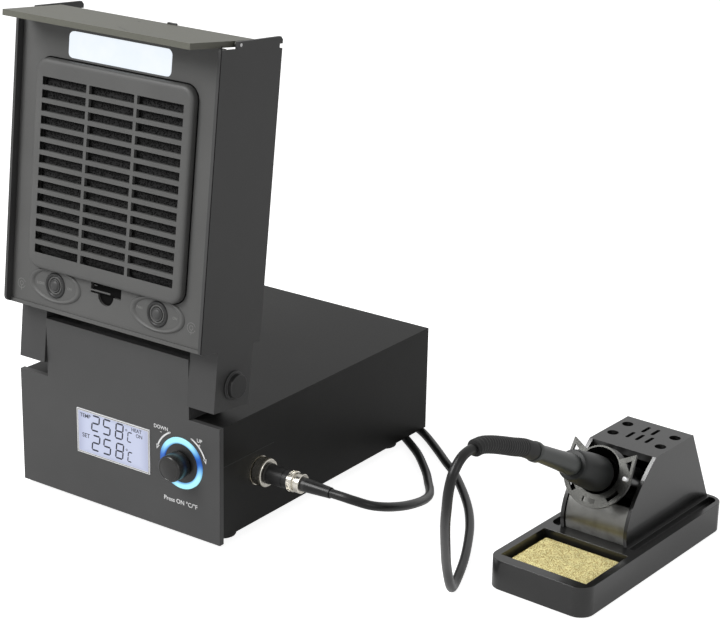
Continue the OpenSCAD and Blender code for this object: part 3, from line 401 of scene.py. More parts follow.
@dataclass(frozen=True)
class Halo:
    """The lit ring round the knob: pale cyan where its two lamps sit, deep blue away from them."""

    name: str
    slot: str
    centre: Vector
    lamp_angles: tuple[float, ...] = (98.0, -62.0)
    middle: float = 16.0
    fade: float = 3.0

    def material(self) -> bpy.types.Material:
        """Returns the finish as a material."""
        g = Graph(self.name, Roughness=0.4, Emission_Strength=0.95, Base_Color=(0.01, 0.04, 0.1))
        where = g.place((1000, 1000, 1000), tuple(self.centre))
        x, z = g.axis("X", where), g.axis("Z", where)
        reach = g.node("ShaderNodeMath", {"operation": "POWER"}, {0: x * x + z * z, 1: 0.5})
        light: Any = 0.0
        for angle in self.lamp_angles:
            toward = (x * math.cos(math.radians(angle)) + z * math.sin(math.radians(angle))) / reach
            light = toward.between(0.15, 1.0) + light
        across = 1 - (reach - self.middle).most(self.middle - reach) / self.fade
        level = (light * 0.8 + 0.14) * (across.between(-0.1, 0.8) * 0.7 + 0.3)
        g.feed(
            "Emission Color",
            g.ramp(level, (0.0, (0.0, 0.01, 0.14)), (0.2, (0.02, 0.12, 0.52)),
                   (0.45, (0.18, 0.48, 0.82)), (0.8, (0.46, 0.96, 1.0))),
        )
        return g.material


@dataclass(frozen=True)
class Backlight:
    """The display's backlit pane: pale blue-white, a little darker towards its edges."""

    name: str
    slot: str
    centre: Vector
    half: tuple[float, float] = (31.9, 16.0)

    def material(self) -> bpy.types.Material:
        """Returns the finish as a material."""
        g = Graph(self.name, Roughness=0.25, Emission_Strength=0.6)
        where = g.place((1000 / self.half[0], 1000, 1000 / self.half[1]), tuple(self.centre))
        x, z = g.axis("X", where), g.axis("Z", where)
        edge = (x * x).most(z * z).between(0.45, 1.0)
        g.feed("Base Color", g.mix((0.2, 0.22, 0.29), (0.13, 0.14, 0.2), edge))
        tone = g.mix((0.64, 0.68, 0.86), (0.48, 0.52, 0.7), edge * 0.8 + g.noise(20, 1) * 0.15)
        g.feed("Emission Color", tone)
        return g.material


@dataclass(frozen=True)
class Ink:
    """Printed or engraved marks, with slightly uneven cover."""

    name: str
    slot: str
    colour: Colour

    def material(self) -> bpy.types.Material:
        """Returns the finish as a material."""
        g = Graph(self.name, Roughness=0.55)
        thin = tuple(c * 0.8 for c in self.colour)
        g.feed("Base Color", g.mix(thin, self.colour, g.noise(0.6, 2).between(0.3, 0.6)))
        return g.material


@dataclass(frozen=True)
class Clear:
    """Clear plastic, slightly milky in patches."""

    name: str
    slot: str

    def material(self) -> bpy.types.Material:
        """Returns the finish as a material."""
        g = Graph(self.name, Roughness=0.12, Coat_Weight=0.4)
        haze = g.noise(3, 2).between(0.3, 0.8)
        g.feed("Base Color", g.mix((0.72, 0.74, 0.78), (0.95, 0.96, 1.0), haze))
        return g.material


@dataclass(frozen=True)
class Board:
    """Green circuit board with lighter tracks and dark chips."""

    name: str
    slot: str

    def material(self) -> bpy.types.Material:
        """Returns the finish as a material."""
        g = Graph(self.name, Roughness=0.3)
        track = g.cells(2.4, "DISTANCE_TO_EDGE").between(0.05, 0.12)
        green = g.mix((0.04, 0.2, 0.09), (0.015, 0.1, 0.05), track)
        g.feed("Base Color", g.mix(green, (0.02, 0.02, 0.02), g.noise(9, 1).between(0.6, 0.62)))
        g.emboss(track, 0.05)
        return g.material


@dataclass(frozen=True)
class Tape:
    """Layers of yellow tape round a winding."""

    name: str
    slot: str

    def material(self) -> bpy.types.Material:
        """Returns the finish as a material."""
        g = Graph(self.name, Roughness=0.35)
        wave = g.node(
            "ShaderNodeTexWave", {"bands_direction": "DIAGONAL"},
            {"Vector": g.place(), "Scale": 60.0, "Distortion": 1.0},
        )
        g.feed("Base Color", g.mix((0.5, 0.36, 0.09), (0.3, 0.2, 0.04), wave))
        g.emboss(wave, 0.2)
        return g.material


Finish = Any


class Palette:
    """Makes each finish's material once."""

    def __init__(self) -> None:
        """Starts with no material."""
        self.made: dict[str, bpy.types.Material] = {}

    def get(self, finish: Finish) -> bpy.types.Material:
        """Returns the finish's material."""
        if finish.name not in self.made:
            self.made[finish.name] = finish.material()
        return self.made[finish.name]


PALETTE = Palette()


# ---------------------------------------------------------------- mesh work


class Blank:
    """A piece being shaped with bmesh operators, in millimetres."""

    def __init__(self) -> None:
        """Starts with an empty mesh."""
        self.mesh = bmesh.new()

    def block(self, low: Point, high: Point) -> list[bmesh.types.BMVert]:
        """Adds a box between two corners and returns its vertices."""
        size = Vector(high) - Vector(low)
        middle = (Vector(high) + Vector(low)) / 2
        matrix = Matrix.Translation(middle) @ Matrix.Diagonal((*size, 1))
        return bmesh.ops.create_cube(self.mesh, size=1, matrix=matrix)["verts"]

    def settle(self, before: set[bmesh.types.BMVert], place: Matrix) -> None:
        """Takes the vertices that are new since before to place."""
        made = [v for v in self.mesh.verts if v not in before]
        bmesh.ops.transform(self.mesh, matrix=place, verts=made)

    def turned(self, profile: Sequence[tuple[float, float]], steps: int) -> None:
        """Spins a profile round the Z axis.

        Args:
            profile: (radius, height) points along the outline.
            steps: faces round the axis.
        """
        before = set(self.mesh.verts)
        points = [self.mesh.verts.new((r, 0, z)) for r, z in profile]
        edges = [self.mesh.edges.new(pair) for pair in zip(points, points[1:])]
        bmesh.ops.spin(self.mesh, geom=points + edges, axis=(0, 0, 1), cent=(0, 0, 0),
                       angle=TURN, steps=steps, use_merge=True, use_duplicate=False)
        made = [v for v in self.mesh.verts if v not in before]
        bmesh.ops.remove_doubles(self.mesh, verts=made, dist=1e-4)

    def arc(self, radius: float, width: float, start: float, end: float,
            place: Matrix, steps: int = 24) -> None:
        """Adds a flat curved bar in the plane of place, from start to end degrees."""
        before = set(self.mesh.verts)
        turn = Matrix.Rotation(math.radians(start), 3, "Z")
        pair = [self.mesh.verts.new(turn @ Vector((radius + s * width / 2, 0, 0))) for s in (-1, 1)]
        edge = self.mesh.edges.new(pair)
        bmesh.ops.spin(self.mesh, geom=pair + [edge], axis=(0, 0, 1), cent=(0, 0, 0),
                       angle=math.radians(end - start), steps=steps, use_duplicate=False)
        for angle in (start, end):
            spot = Matrix.Rotation(math.radians(angle), 4, "Z") @ Matrix.Translation((radius, 0, 0))
            bmesh.ops.create_circle(self.mesh, cap_ends=True, segments=12, radius=width / 2, matrix=spot)
        self.settle(before, place)

    def plate(self, points: Sequence[tuple[float, float]], thickness: float, place: Matrix) -> None:
        """Adds a flat plate of that outline, from height 0 up to thickness, at place."""
        before = set(self.mesh.verts)
        face = self.mesh.faces.new([self.mesh.verts.new((x, y, 0)) for x, y in points])
        if thickness:
            lifted = bmesh.ops.extrude_face_region(self.mesh, geom=[face])["geom"]
            verts = [v for v in lifted if isinstance(v, bmesh.types.BMVert)]
            bmesh.ops.translate(self.mesh, verts=verts, vec=(0, 0, thickness))
        self.settle(before, place)

    def bar(self, low: tuple[float, float], high: tuple[float, float], thickness: float,
            place: Matrix) -> None:
        """Adds a flat rectangular plate between two corners, at place."""
        self.plate([low, (high[0], low[1]), high, (low[0], high[1])], thickness, place)

    def crowned(self, outline: Sequence[tuple[float, float]], steps: Sequence[tuple[float, float]],
                hole: tuple[tuple[float, float], tuple[float, float]], wall: float, place: Matrix) -> None:
        """Adds a tray with a crowned rim and a rectangular hole in its face.

        Args:
            outline: the tray's outline, anticlockwise.
            steps: (inset, rise) of each step from the back to the face.
            hole: lowest and highest corner of the hole.
            wall: thickness of the side walls.
            place: the frame of the outline, with Z towards the face.
        """
        before = set(self.mesh.verts)
        face = self.mesh.faces.new([self.mesh.verts.new((x, y, 0)) for x, y in outline])
        lifted = bmesh.ops.extrude_face_region(self.mesh, geom=[face])["geom"]
        top = next(g for g in lifted if isinstance(g, bmesh.types.BMFace))
        bmesh.ops.translate(self.mesh, verts=top.verts, vec=(0, 0, steps[0][1]))
        bmesh.ops.inset_region(self.mesh, faces=[face], thickness=wall, depth=0, use_even_offset=True)
        bmesh.ops.delete(self.mesh, geom=[face], context="FACES")
        for inset, rise in steps[1:]:
            if top.normal.z < 0:
                top.normal_flip()
            bmesh.ops.inset_region(self.mesh, faces=[top], thickness=inset, depth=rise,
                                   use_even_offset=True)
        edges = list(top.edges)
        height = top.verts[0].co.z
        bmesh.ops.delete(self.mesh, geom=[top], context="FACES_ONLY")
        (x0, y0), (x1, y1) = hole
        corners = [self.mesh.verts.new((x, y, height))
                   for x, y in ((x0, y0), (x1, y0), (x1, y1), (x0, y1))]
        edges += [self.mesh.edges.new(pair) for pair in zip(corners, corners[1:] + corners[:1])]
        bmesh.ops.triangle_fill(self.mesh, use_beauty=True, edges=edges, normal=(0, 0, 1))
        self.settle(before, place)

    def flat_at(self, face: bmesh.types.BMFace, place: Matrix, height: float, low: tuple[float, float],
                high: tuple[float, float]) -> bool:
        """Tells whether a face lies at height in the frame place and between two corners."""
        inverse = place.inverted()
        spots = [inverse @ v.co for v in face.verts]
        near = 0.01
        return all(abs(s.z - height) < near and low[0] - near < s.x < high[0] + near
                   and low[1] - near < s.y < high[1] + near for s in spots)

    def thicken(self, faces: list[bmesh.types.BMFace], away: Vector) -> None:
        """Gives some faces a back and sides, by extruding them along away."""
        copy = bmesh.ops.duplicate(self.mesh, geom=faces)["geom"]
        flat = [g for g in copy if isinstance(g, bmesh.types.BMFace)]
        lifted = bmesh.ops.extrude_face_region(self.mesh, geom=flat)["geom"]
        verts = [g for g in lifted if isinstance(g, bmesh.types.BMVert)]
        bmesh.ops.translate(self.mesh, verts=verts, vec=away)
        bmesh.ops.delete(self.mesh, geom=flat, context="FACES")

    def soften(self, width: float, segments: int = 2, angle: float = 30) -> None:
        """Bevels every edge sharper than angle degrees."""
        sharp = [e for e in self.mesh.edges
                 if len(e.link_faces) == 2 and e.calc_face_angle(0) > math.radians(angle)]
        bmesh.ops.bevel(self.mesh, geom=sharp, offset=width, offset_type="OFFSET", affect="EDGES",
                        segments=segments, profile=0.5, material=-1, clamp_overlap=True)

    def out(self, name: str, body: Body, finish: Finish, place: Matrix = Matrix.Identity(4),
            smooth: float = 35, recalculate: bool = True) -> bpy.types.Object:
        """Finishes the piece.

        Args:
            name: the piece's name.
            body: the body it rides on.
            finish: its finish.
            place: the frame that its millimetres are in, left out if its parts are placed already.
            smooth: edges below this angle shade smoothly, in degrees.
            recalculate: whether the faces are turned outwards again.

        Returns:
            The object, at the origin, with its place in its mesh.
        """
        bmesh.ops.transform(self.mesh, matrix=place, verts=self.mesh.verts)
        if recalculate:
            bmesh.ops.recalc_face_normals(self.mesh, faces=self.mesh.faces)
        return finished(name, as_mesh(name, self.mesh), body, finish, smooth)


def linked(name: str, data: Any) -> bpy.types.Object:
    """Returns a new object of that data, linked to the scene."""
    made = bpy.data.objects.new(name, data)
    bpy.context.scene.collection.objects.link(made)
    return made


def as_mesh(name: str, shape: bmesh.types.BMesh) -> bpy.types.Mesh:
    """Returns a shape as a mesh, and frees it."""
    data = bpy.data.meshes.new(name)
    shape.to_mesh(data)
    shape.free()
    return data


def finished(name: str, data: bpy.types.Mesh, body: Optional[Body], finish: Finish,
             smooth: float = 35) -> bpy.types.Object:
    """Links a mesh as a piece with its finish, shading and body, and reports it.

    Args:
        name: the piece's name.
        data: its mesh, placed in metres.
        body: the body it rides on, or None for a cord that lies between two.
        finish: its finish.
        smooth: edges below this angle shade smoothly, in degrees.

    Returns:
        The piece.
    """
    piece = linked(name, data)
    data.materials.clear()
    data.materials.append(PALETTE.get(finish))
    data.shade_smooth()
    data.set_sharp_from_angle(angle=math.radians(smooth))
    if body:
        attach(piece, body.value)
    log.info("%s: %d faces on %s", name, len(data.polygons), body.value if body else "two bodies")
    return piece


def lettering(name: str, words: Sequence[tuple[str, float, float, float]], body: Body, finish: Finish,
              place: Matrix) -> bpy.types.Object:
    """Makes words as thin flat pieces.

    Args:
        name: the piece's name.
        words: (text, x, y, height) with x and y the middle of each word in the plane of place.
        body: the body it rides on.
        finish: the ink.
        place: the plane, with its X along the words and its Z out of the surface.

    Returns:
        The piece.
    """
    joined = bmesh.new()
    for text, x, y, height in words:
        curve = bpy.data.curves.new(name, "FONT")
        curve.body, curve.size = text, height / CAPITAL_SHARE
        curve.align_x, curve.align_y = "CENTER", "CENTER"
        curve.offset = 0.02 * height
        holder = linked(name, curve)
        bpy.context.view_layer.update()
        mesh = bpy.data.meshes.new_from_object(holder)
        mesh.transform(Matrix.Translation((x, y, 0)))
        joined.from_mesh(mesh)
        bpy.data.objects.remove(holder)
    bmesh.ops.transform(joined, matrix=place, verts=joined.verts)
    return finished(name, as_mesh(name, joined), body, finish)


def softened(name: str, node: str, body: Body, finish: Finish, width: float, segments: int = 2,
             edit: Optional[Callable[[bmesh.types.BMesh], None]] = None) -> bpy.types.Object:
    """Makes a copy of a CAD node with rounded edges, which replaces it.

    Args:
        name: the copy's name.
        node: the CAD node.
        body: the body it rides on.
        finish: its finish.
        width: the rounding's width in millimetres.
        segments: faces across the rounding.
        edit: a change to the copy's mesh before it is rounded.

    Returns:
        The copy.
    """
    shape = bmesh.new()
    shape.from_mesh(frame["nodes"][node].data)
    if edit:
        edit(shape)
    bmesh.ops.remove_doubles(shape, verts=shape.verts, dist=2e-6)
    bmesh.ops.dissolve_limit(shape, angle_limit=math.radians(0.6), verts=shape.verts,
                             edges=shape.edges, use_dissolve_boundaries=False)
    piece = finished(name, as_mesh(name, shape), body, finish, SHADED_BELOW)
    bevel = piece.modifiers.new("rounding", "BEVEL")
    bevel.width = width / 1000
    bevel.segments = segments
    bevel.limit_method = "ANGLE"
    bevel.angle_limit = math.radians(ROUNDED_ABOVE)
    bevel.use_clamp_overlap = True
    weighted = piece.modifiers.new("flat faces", "WEIGHTED_NORMAL")
    weighted.weight = 90
    weighted.keep_sharp = True
    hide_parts(node)
    return piece


def dress(finishes: dict[str, Finish]) -> None:
    """Gives CAD nodes their finishes, by node name."""
    for node, finish in finishes.items():
        target = frame["nodes"][node]
        if not target.material_slots:
            target.data.materials.append(None)
        for index in range(len(target.material_slots)):
            target.material_slots[index].material = PALETTE.get(finish)
        log.info("%s: %s", node, finish.name)


# ---------------------------------------------------------------- frames of the sub-assemblies


def joint_place(name: str) -> Vector:
    """Returns the point a joint turns about."""
    return Vector(next(j["pos_m"] for j in frame["joints"] if j["name"] == name))


def extent(node: str, place: Matrix) -> tuple[Vector, Vector]:
    """Returns a CAD node's lowest and highest corner, in the millimetres of the frame place."""
    inverse = place.inverted()
    spots = [inverse @ v.co for v in frame["nodes"][node].data.vertices]
    return (Vector(min(s[i] for s in spots) for i in range(3)),
            Vector(max(s[i] for s in spots) for i in range(3)))


LEAN = math.radians(-6.5)  # the head's turn at rest, which leans it back
STAND_PLACE = (333.4, 62.4, 0)  # the stand's front left corner, in the case's frame
STAND_TURN = math.radians(-2.65)  # how far the stand is turned on the table
IRON_TILT = math.radians(28.2)  # how steeply the iron rests in its holder
IRON_PLACE = (36.25, 60, 67.9)  # origin of the iron's frame, in the stand's frame
CASE_SIDE = 171.2  # outside of the cover's right wall, in the case's frame
PANEL = Vector(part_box("front_panel")[0])
CASE = Matrix.Translation((PANEL.x, PANEL.y, 0)) @ MM
HEAD = Matrix.Translation(joint_place("head_hinge")) @ Matrix.Rotation(LEAN, 4, "X") @ MM
STAND = CASE @ Matrix.Translation(STAND_PLACE) @ Matrix.Rotation(STAND_TURN, 4, "Z")
IRON = (STAND @ Matrix.Translation(IRON_PLACE)
        @ Matrix.Rotation(-(math.pi / 2 + IRON_TILT), 4, "X"))
UPRIGHT = Matrix.Rotation(math.pi / 2, 4, "X")


def facing(frame_: Matrix, x: float, y: float, z: float) -> Matrix:
    """Returns a plane that faces -Y, with X along, Y up and Z out, at a point of frame_."""
    return frame_ @ Matrix.Translation((x, y, z)) @ UPRIGHT


class Finishes:
    """Every finish of the object, each named for what wears it."""

    PANEL = Moulded("panel plastic", "case_plastic", (0.052, 0.052, 0.052), 0.5, specular=0.45)
    HEAD = Moulded("head plastic", "head_plastic", (0.042, 0.042, 0.042), 0.5, specular=0.45)
    FACE = Moulded("face plastic", "face_plastic", (0.085, 0.085, 0.083), 0.52, specular=0.45)
    VISOR = Moulded("visor plastic", "visor_plastic", (0.1, 0.1, 0.08), 0.48)
    BLACK = Moulded("black plastic", "black_plastic", (0.014, 0.014, 0.014), 0.4)
    KNOB = Moulded("knob plastic", "knob_plastic", (0.012, 0.0115, 0.011), 0.3, depth=0.01)
    HANDLE = Moulded("handle plastic", "handle_plastic", (0.042, 0.046, 0.043), 0.34)
    COVER = Enamel("cover paint", "cover_paint", (0.0065, 0.0065, 0.006), 0.45, specular=0.2)
    STAND = Enamel("stand enamel", "stand_metal", (0.0055, 0.0055, 0.0053), 0.3, depth=0.006, coat=0.35)
    SHIELD = Metal("shield enamel", "shield_metal", (0.2, 0.2, 0.19), 0.33, stretch=(60, 60, 60))
    SCREW = Enamel("black screw", "black_screw", (0.01, 0.01, 0.01), 0.35, peel=0.8)
    FEET = Rubber("foot rubber", "dark_rubber", (0.01, 0.01, 0.01))
    GRIP = Rubber("grip silicone", "grip_rubber", (0.009, 0.01, 0.0095), 0.42, specular=0.28)
    CORD = Rubber("cord silicone", "cord_rubber", (0.004, 0.004, 0.004), 0.34, specular=0.35)
    BRIGHT = Metal("bright steel", "bright_steel", (0.62, 0.62, 0.62))
    COUPLING = Metal("coupling nickel", "coupling_metal", (0.72, 0.69, 0.62), 0.2)
    HOLDER = Metal("holder black chrome", "holder_metal", (0.05, 0.05, 0.047), 0.26, stretch=(40, 40, 40))
    TUBE = Metal("holder steel", "holder_metal", (0.4, 0.4, 0.4), 0.3)
    BARREL = Metal("barrel steel", "barrel_steel", (0.6, 0.58, 0.55), 0.24)
    TIP = Metal("tip plating", "tip_plating", (0.5, 0.46, 0.4), 0.3, heat=True)
    ENCODER = Metal("encoder case", "encoder_case", (0.55, 0.55, 0.55), 0.3)
    BRASS = Metal("standoff brass", "standoff_brass", (0.65, 0.45, 0.18), 0.25)
    # the second colour of the foam and the sponge is the painted shade at the bottoms of their pores
    FOAM = Cellular("filter foam", "filter_foam", (0.026, 0.026, 0.026), (0.0006, 0.0006, 0.0006),
                    1.15, 0.8)
    SPONGE = Cellular("sponge", "sponge", (1.0, 0.9, 0.44), (0.5, 0.3, 0.07), 0.8, 0.5)
    LAMP = Lit("lamp light", "light_guide", (0.9, 0.95, 1.0), (0.82, 0.9, 1.0), 0.97)
    CLEAR = Clear("clear plastic", "display_glass")
    MODULE = Lit("display glow", "display_unit", (0.5, 0.53, 0.65), (0.4, 0.43, 0.55), 0.1)
    BOARD = Board("circuit board", "circuit_board")
    TAPE = Tape("winding tape", "transformer_wrap")
    ROCKER = Moulded("red rocker", "rocker_red", (0.35, 0.012, 0.01), 0.25)
    PRINT = Ink("white print", "case_plastic", (0.8, 0.8, 0.8))
    FAINT = Ink("faint print", "face_plastic", (0.2, 0.2, 0.195))
    SEGMENT = Ink("display segment", "display_glass", (0.012, 0.014, 0.03))
    # near-black, for sheets that paint the shade in gaps and recesses
    GAP_SHADE = Moulded("shaded gap", "case_plastic", (0.003, 0.003, 0.003), 0.8, specular=0.1)
    # near-black, for thin marks that paint the shade in a seam, a gap and a hole
    SHADE_LINE = Ink("dark line", "case_plastic", (0.012, 0.012, 0.012))


# ---------------------------------------------------------------- light and camera


@dataclass
class Studio:
    """Camera, lamps, floor and background, in metres.

    Attributes:
        eye: where the camera stands.
        yaw: how far it looks to the right of the +Y axis, in degrees.
        pitch: how far it looks down, in degrees.
        roll: how far it is rolled, in degrees.
        lens: its focal length in millimetres.
        lamps: name, place, aim, size and power of each lamp.
    """

    eye: Point = (0.72334, -1.03854, 0.5952)
    yaw: float = -35.093
    pitch: float = 19.818
    roll: float = 1.214
    lens: float = 103.33
    lamps: tuple[tuple[str, Point, Point, float, float], ...] = (
        ("key", (-0.9, -1.45, 1.5), (0, 0, 0.12), 0.9, 35),
        ("top", (-0.58, -0.51, 1.5), (0.1, 0, 0.05), 0.3, 5),
        ("side", (1.7, -0.35, 0.75), (0.1, 0, 0.1), 0.9, 4),
    )

    def camera(self) -> None:
        """Puts the camera at the viewing place."""
        yaw, pitch, roll = (math.radians(a) for a in (self.yaw, self.pitch, self.roll))
        ahead = Vector((math.sin(yaw) * math.cos(pitch), math.cos(yaw) * math.cos(pitch), -math.sin(pitch)))
        right = ahead.cross(Vector((0, 0, 1))).normalized()
        up = right.cross(ahead)
        across = math.cos(roll) * right + math.sin(roll) * up
        upward = math.cos(roll) * up - math.sin(roll) * right
        data = bpy.data.cameras.new("camera")
        data.lens, data.sensor_width = self.lens, 36.0
        data.clip_start, data.clip_end = 0.05, 30
        eye = linked("camera", data)
        turn = Matrix((across, upward, -ahead)).transposed()
        eye.matrix_world = Matrix.Translation(self.eye) @ turn.to_4x4()
        bpy.context.scene.camera = eye

    def lamp(self, name: str, place: Point, aim: Point, size: float, power: float) -> None:
        """Adds a soft square lamp at place, turned to aim."""
        data = bpy.data.lights.new(name, "AREA")
        data.size, data.energy = size, power
        lamp = linked(name, data)
        lamp.location = place
        lamp.rotation_euler = (Vector(aim) - Vector(place)).to_track_quat("-Z", "Y").to_euler()

    def background(self) -> None:
        """Makes a white background and an even fill light."""
        world = bpy.data.worlds.new("studio")
        world.use_nodes = True
        tree = world.node_tree
        tree.nodes.clear()
        out = tree.nodes.new("ShaderNodeOutputWorld")
        path = tree.nodes.new("ShaderNodeLightPath")
        seen = tree.nodes.new("ShaderNodeMath")
        seen.operation = "MAXIMUM"
        tree.links.new(path.outputs["Is Camera Ray"], seen.inputs[0])
        tree.links.new(path.outputs["Is Transmission Ray"], seen.inputs[1])
        glossy = tree.nodes.new("ShaderNodeMath")
        glossy.operation = "MULTIPLY_ADD"
        tree.links.new(path.outputs["Is Glossy Ray"], glossy.inputs[0])
        glossy.inputs[1].default_value = 0.4
        glossy.inputs[2].default_value = 0.36
        most = tree.nodes.new("ShaderNodeMath")
        most.operation = "MAXIMUM"
        tree.links.new(seen.outputs[0], most.inputs[0])
        tree.links.new(glossy.outputs[0], most.inputs[1])
        sky = tree.nodes.new("ShaderNodeBackground")
        sky.inputs["Color"].default_value = (1, 1, 1, 1)
        tree.links.new(most.outputs[0], sky.inputs["Strength"])
        tree.links.new(sky.outputs[0], out.inputs["Surface"])
        bpy.context.scene.world = world

    def floor(self) -> None:
        """Makes a pale floor that keeps the object's shadow."""
        mesh = bmesh.new()
        bmesh.ops.create_grid(mesh, x_segments=2, y_segments=2, size=6)
        floor = linked("floor", as_mesh("floor", mesh))
        g = Graph("floor", Roughness=0.9, Specular_IOR_Level=0.1)
        path = g.tree.nodes.new("ShaderNodeLightPath")
        camera, glossy = (Wire(g, path.outputs[f"Is {kind} Ray"]) for kind in ("Camera", "Glossy"))
        seen = (camera * 0.88).most(glossy * 0.3)
        g.feed("Base Color", (0.6, 0.6, 0.6))
        g.feed("Emission Color", g.mix((0.0, 0.0, 0.0), (1.0, 1.0, 1.0), seen))
        g.feed("Emission Strength", 1.0)
        floor.data.materials.append(g.material)

    def build(self) -> None:
        """Makes the whole studio."""
        bpy.context.scene.view_settings.view_transform = "Standard"
        self.camera()
        self.background()
        self.floor()
        for lamp in self.lamps:
            self.lamp(*lamp)


# ---------------------------------------------------------------- the iron's cord


@dataclass
class IronCord:
    """The cord from the plug to the iron: down behind the case, through a coil and up to the boot.

    Attributes:
        diameter: its thickness.
        exit: where it leaves the plug.
        front: its points from the plug to the coil.
        coil_middle: the coil's middle on the table.
        coil_start: the angle at which the coil starts, in degrees.
        coil_radius: (degrees turned, radius) along the coil.
        coil_height: (degrees turned, height) along the coil.
        coil_turned: how many degrees the coil turns.
        coil_step: degrees between its points.
        rear: its points from the coil to the boot.
        stretch_start: where it starts to follow the iron as that is drawn out.
    """

    diameter: float = 6.0
    exit: Point = (231.0, 38.7, 43.2)
    front: tuple[Point, ...] = (
        (240.0, 38.7, 43.2), (248, 41, 41.8), (256, 47.5, 38.5), (260, 60, 34), (260.5, 77, 28.5),
        (258, 95, 23), (252, 115, 16.5), (244, 133, 11), (234, 149, 6.5), (225, 161, 4.2),
        (215, 174, 3.1), (204, 186, 3.1), (190, 200, 3.1), (175, 212, 3.1), (160, 223, 3.1),
        (146, 233, 3.1), (132, 240.3, 3.1), (117, 245.5, 3.1), (101, 248, 3.1), (84, 248.4, 3.1),
        (70, 249.6, 3.3),
    )
    coil_middle: tuple[float, float] = (70.0, 290.0)
    coil_start: float = -110.0
    coil_radius: tuple[tuple[float, float], ...] = (
        (0, 39), (700, 27.33), (720, 27.2), (740, 28.3), (760, 31.5), (780, 34.3), (800, 34.67),
        (900, 33), (945, 36.4),
    )
    coil_height: tuple[tuple[float, float], ...] = (
        (0, 3.8), (685, 3.8), (700, 4.6), (720, 7.2), (740, 9.1), (760, 9.85), (780, 9.7),
        (800, 9.15), (900, 9.05), (920, 9.5), (945, 9.9),
    )
    coil_turned: int = 945
    coil_step: int = 15
    rear: tuple[Point, ...] = (
        (107.6, 292.5, 9.3), (109.2, 281, 7.2), (113, 270.5, 4.2), (119.5, 262, 3.1), (128.5, 255.5, 3.1),
        (139, 250.3, 3.1), (151, 244.8, 3.1), (162, 239.5, 3.1), (171.5, 234, 3.1), (180, 228, 3.1),
        (189.5, 220.5, 3.1), (201, 211, 3.1), (214, 200, 3.1),
        (227, 189.5, 3.1), (240.8, 175.8, 3.1), (256.3, 159, 3.1), (270.3, 141.8, 3.1),
        (283.3, 122.6, 3.1), (294, 103.9, 3.1), (304.4, 84, 3.1), (313.4, 64.1, 3.1),
        (321.3, 44.4, 3.8), (328.4, 29.4, 13), (336, 12.6, 34.6), (345.4, -4.2, 56),
        (356, -22.3, 80.7), (362.3, -31.4, 96.8), (365, -34.4, 108.6), (366.1, -33, 117.9),
        (366.4, -28.5, 124), (366.3, -22.5, 127.3),
        (366.07, -15.85, 128.05), (366.27, -11.56, 127.79),
    )
    stretch_start: Point = (320, 40, 7)

    @staticmethod
    def read(table: Sequence[tuple[float, float]], where: float) -> float:
        """Returns the value of a table of (place, value) at a place, straight between its rows."""
        for (a, u), (b, v) in zip(table, table[1:]):
            if where <= b:
                return u + (v - u) * (where - a) / (b - a)
        return table[-1][1]

    def coil(self) -> list[Vector]:
        """Returns the points of the coil, which turns a little over two and a half times."""
        points = []
        for turned in range(0, self.coil_turned + 1, self.coil_step):
            angle = math.radians(self.coil_start - turned)
            radius = self.read(self.coil_radius, turned)
            points.append(Vector((self.coil_middle[0] + radius * math.cos(angle),
                                  self.coil_middle[1] + radius * math.sin(angle),
                                  self.read(self.coil_height, turned))))
        return points

    def path(self) -> list[Vector]:
        """Returns the whole route in metres, on one smooth curve."""
        points = [Vector(p) for p in (self.exit, *self.front)] + self.coil()
        points += [Vector(p) for p in self.rear]
        return [CASE @ p for p in smooth_route(points, 4)]

    def build(self, fittings: Sequence[bpy.types.Object]) -> bpy.types.Object:
        """Builds the cord.

        Args:
            fittings: the pieces of the plug and the tie; not used.

        Returns:
            The cord.
        """
        path = self.path()
        data = tube("iron_cord", path, [self.diameter / 2000] * len(path), 16)
        cord = finished("iron_cord", data, None, Finishes.CORD)
        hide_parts("iron_cord_front", "iron_cord_coil", "iron_cord_rear")
        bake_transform(cord)
        length = sum((b - a).length for a, b in zip(path, path[1:]))
        log.info("cord of %.3f m", length)
        return cord


def rounded(x0: float, y0: float, x1: float, y1: float, radius: float,
            steps: int) -> list[tuple[float, float]]:
    """Returns the outline of a rounded rectangle, anticlockwise, with steps to each corner."""
    middles = ((x1 - radius, y0 + radius, -90), (x1 - radius, y1 - radius, 0),
               (x0 + radius, y1 - radius, 90), (x0 + radius, y0 + radius, 180))
    return [(x + radius * math.cos(math.radians(start + 90 * k / steps)),
             y + radius * math.sin(math.radians(start + 90 * k / steps)))
            for x, y, start in middles for k in range(steps + 1)]


def smooth_route(points: Sequence[Vector], steps: int) -> list[Vector]:
    """Returns points on a smooth curve through points, with steps between neighbours."""
    last = len(points) - 1
    route = []
    for i in range(last):
        a, b, c, d = points[max(i - 1, 0)], points[i], points[i + 1], points[min(i + 2, last)]
        for k in range(steps):
            t = k / steps
            route.append(0.5 * (2 * b + (c - a) * t + (2 * a - 5 * b + 4 * c - d) * t * t
                                + (3 * b - a - 3 * c + d) * t ** 3))
    return route + [points[last]]


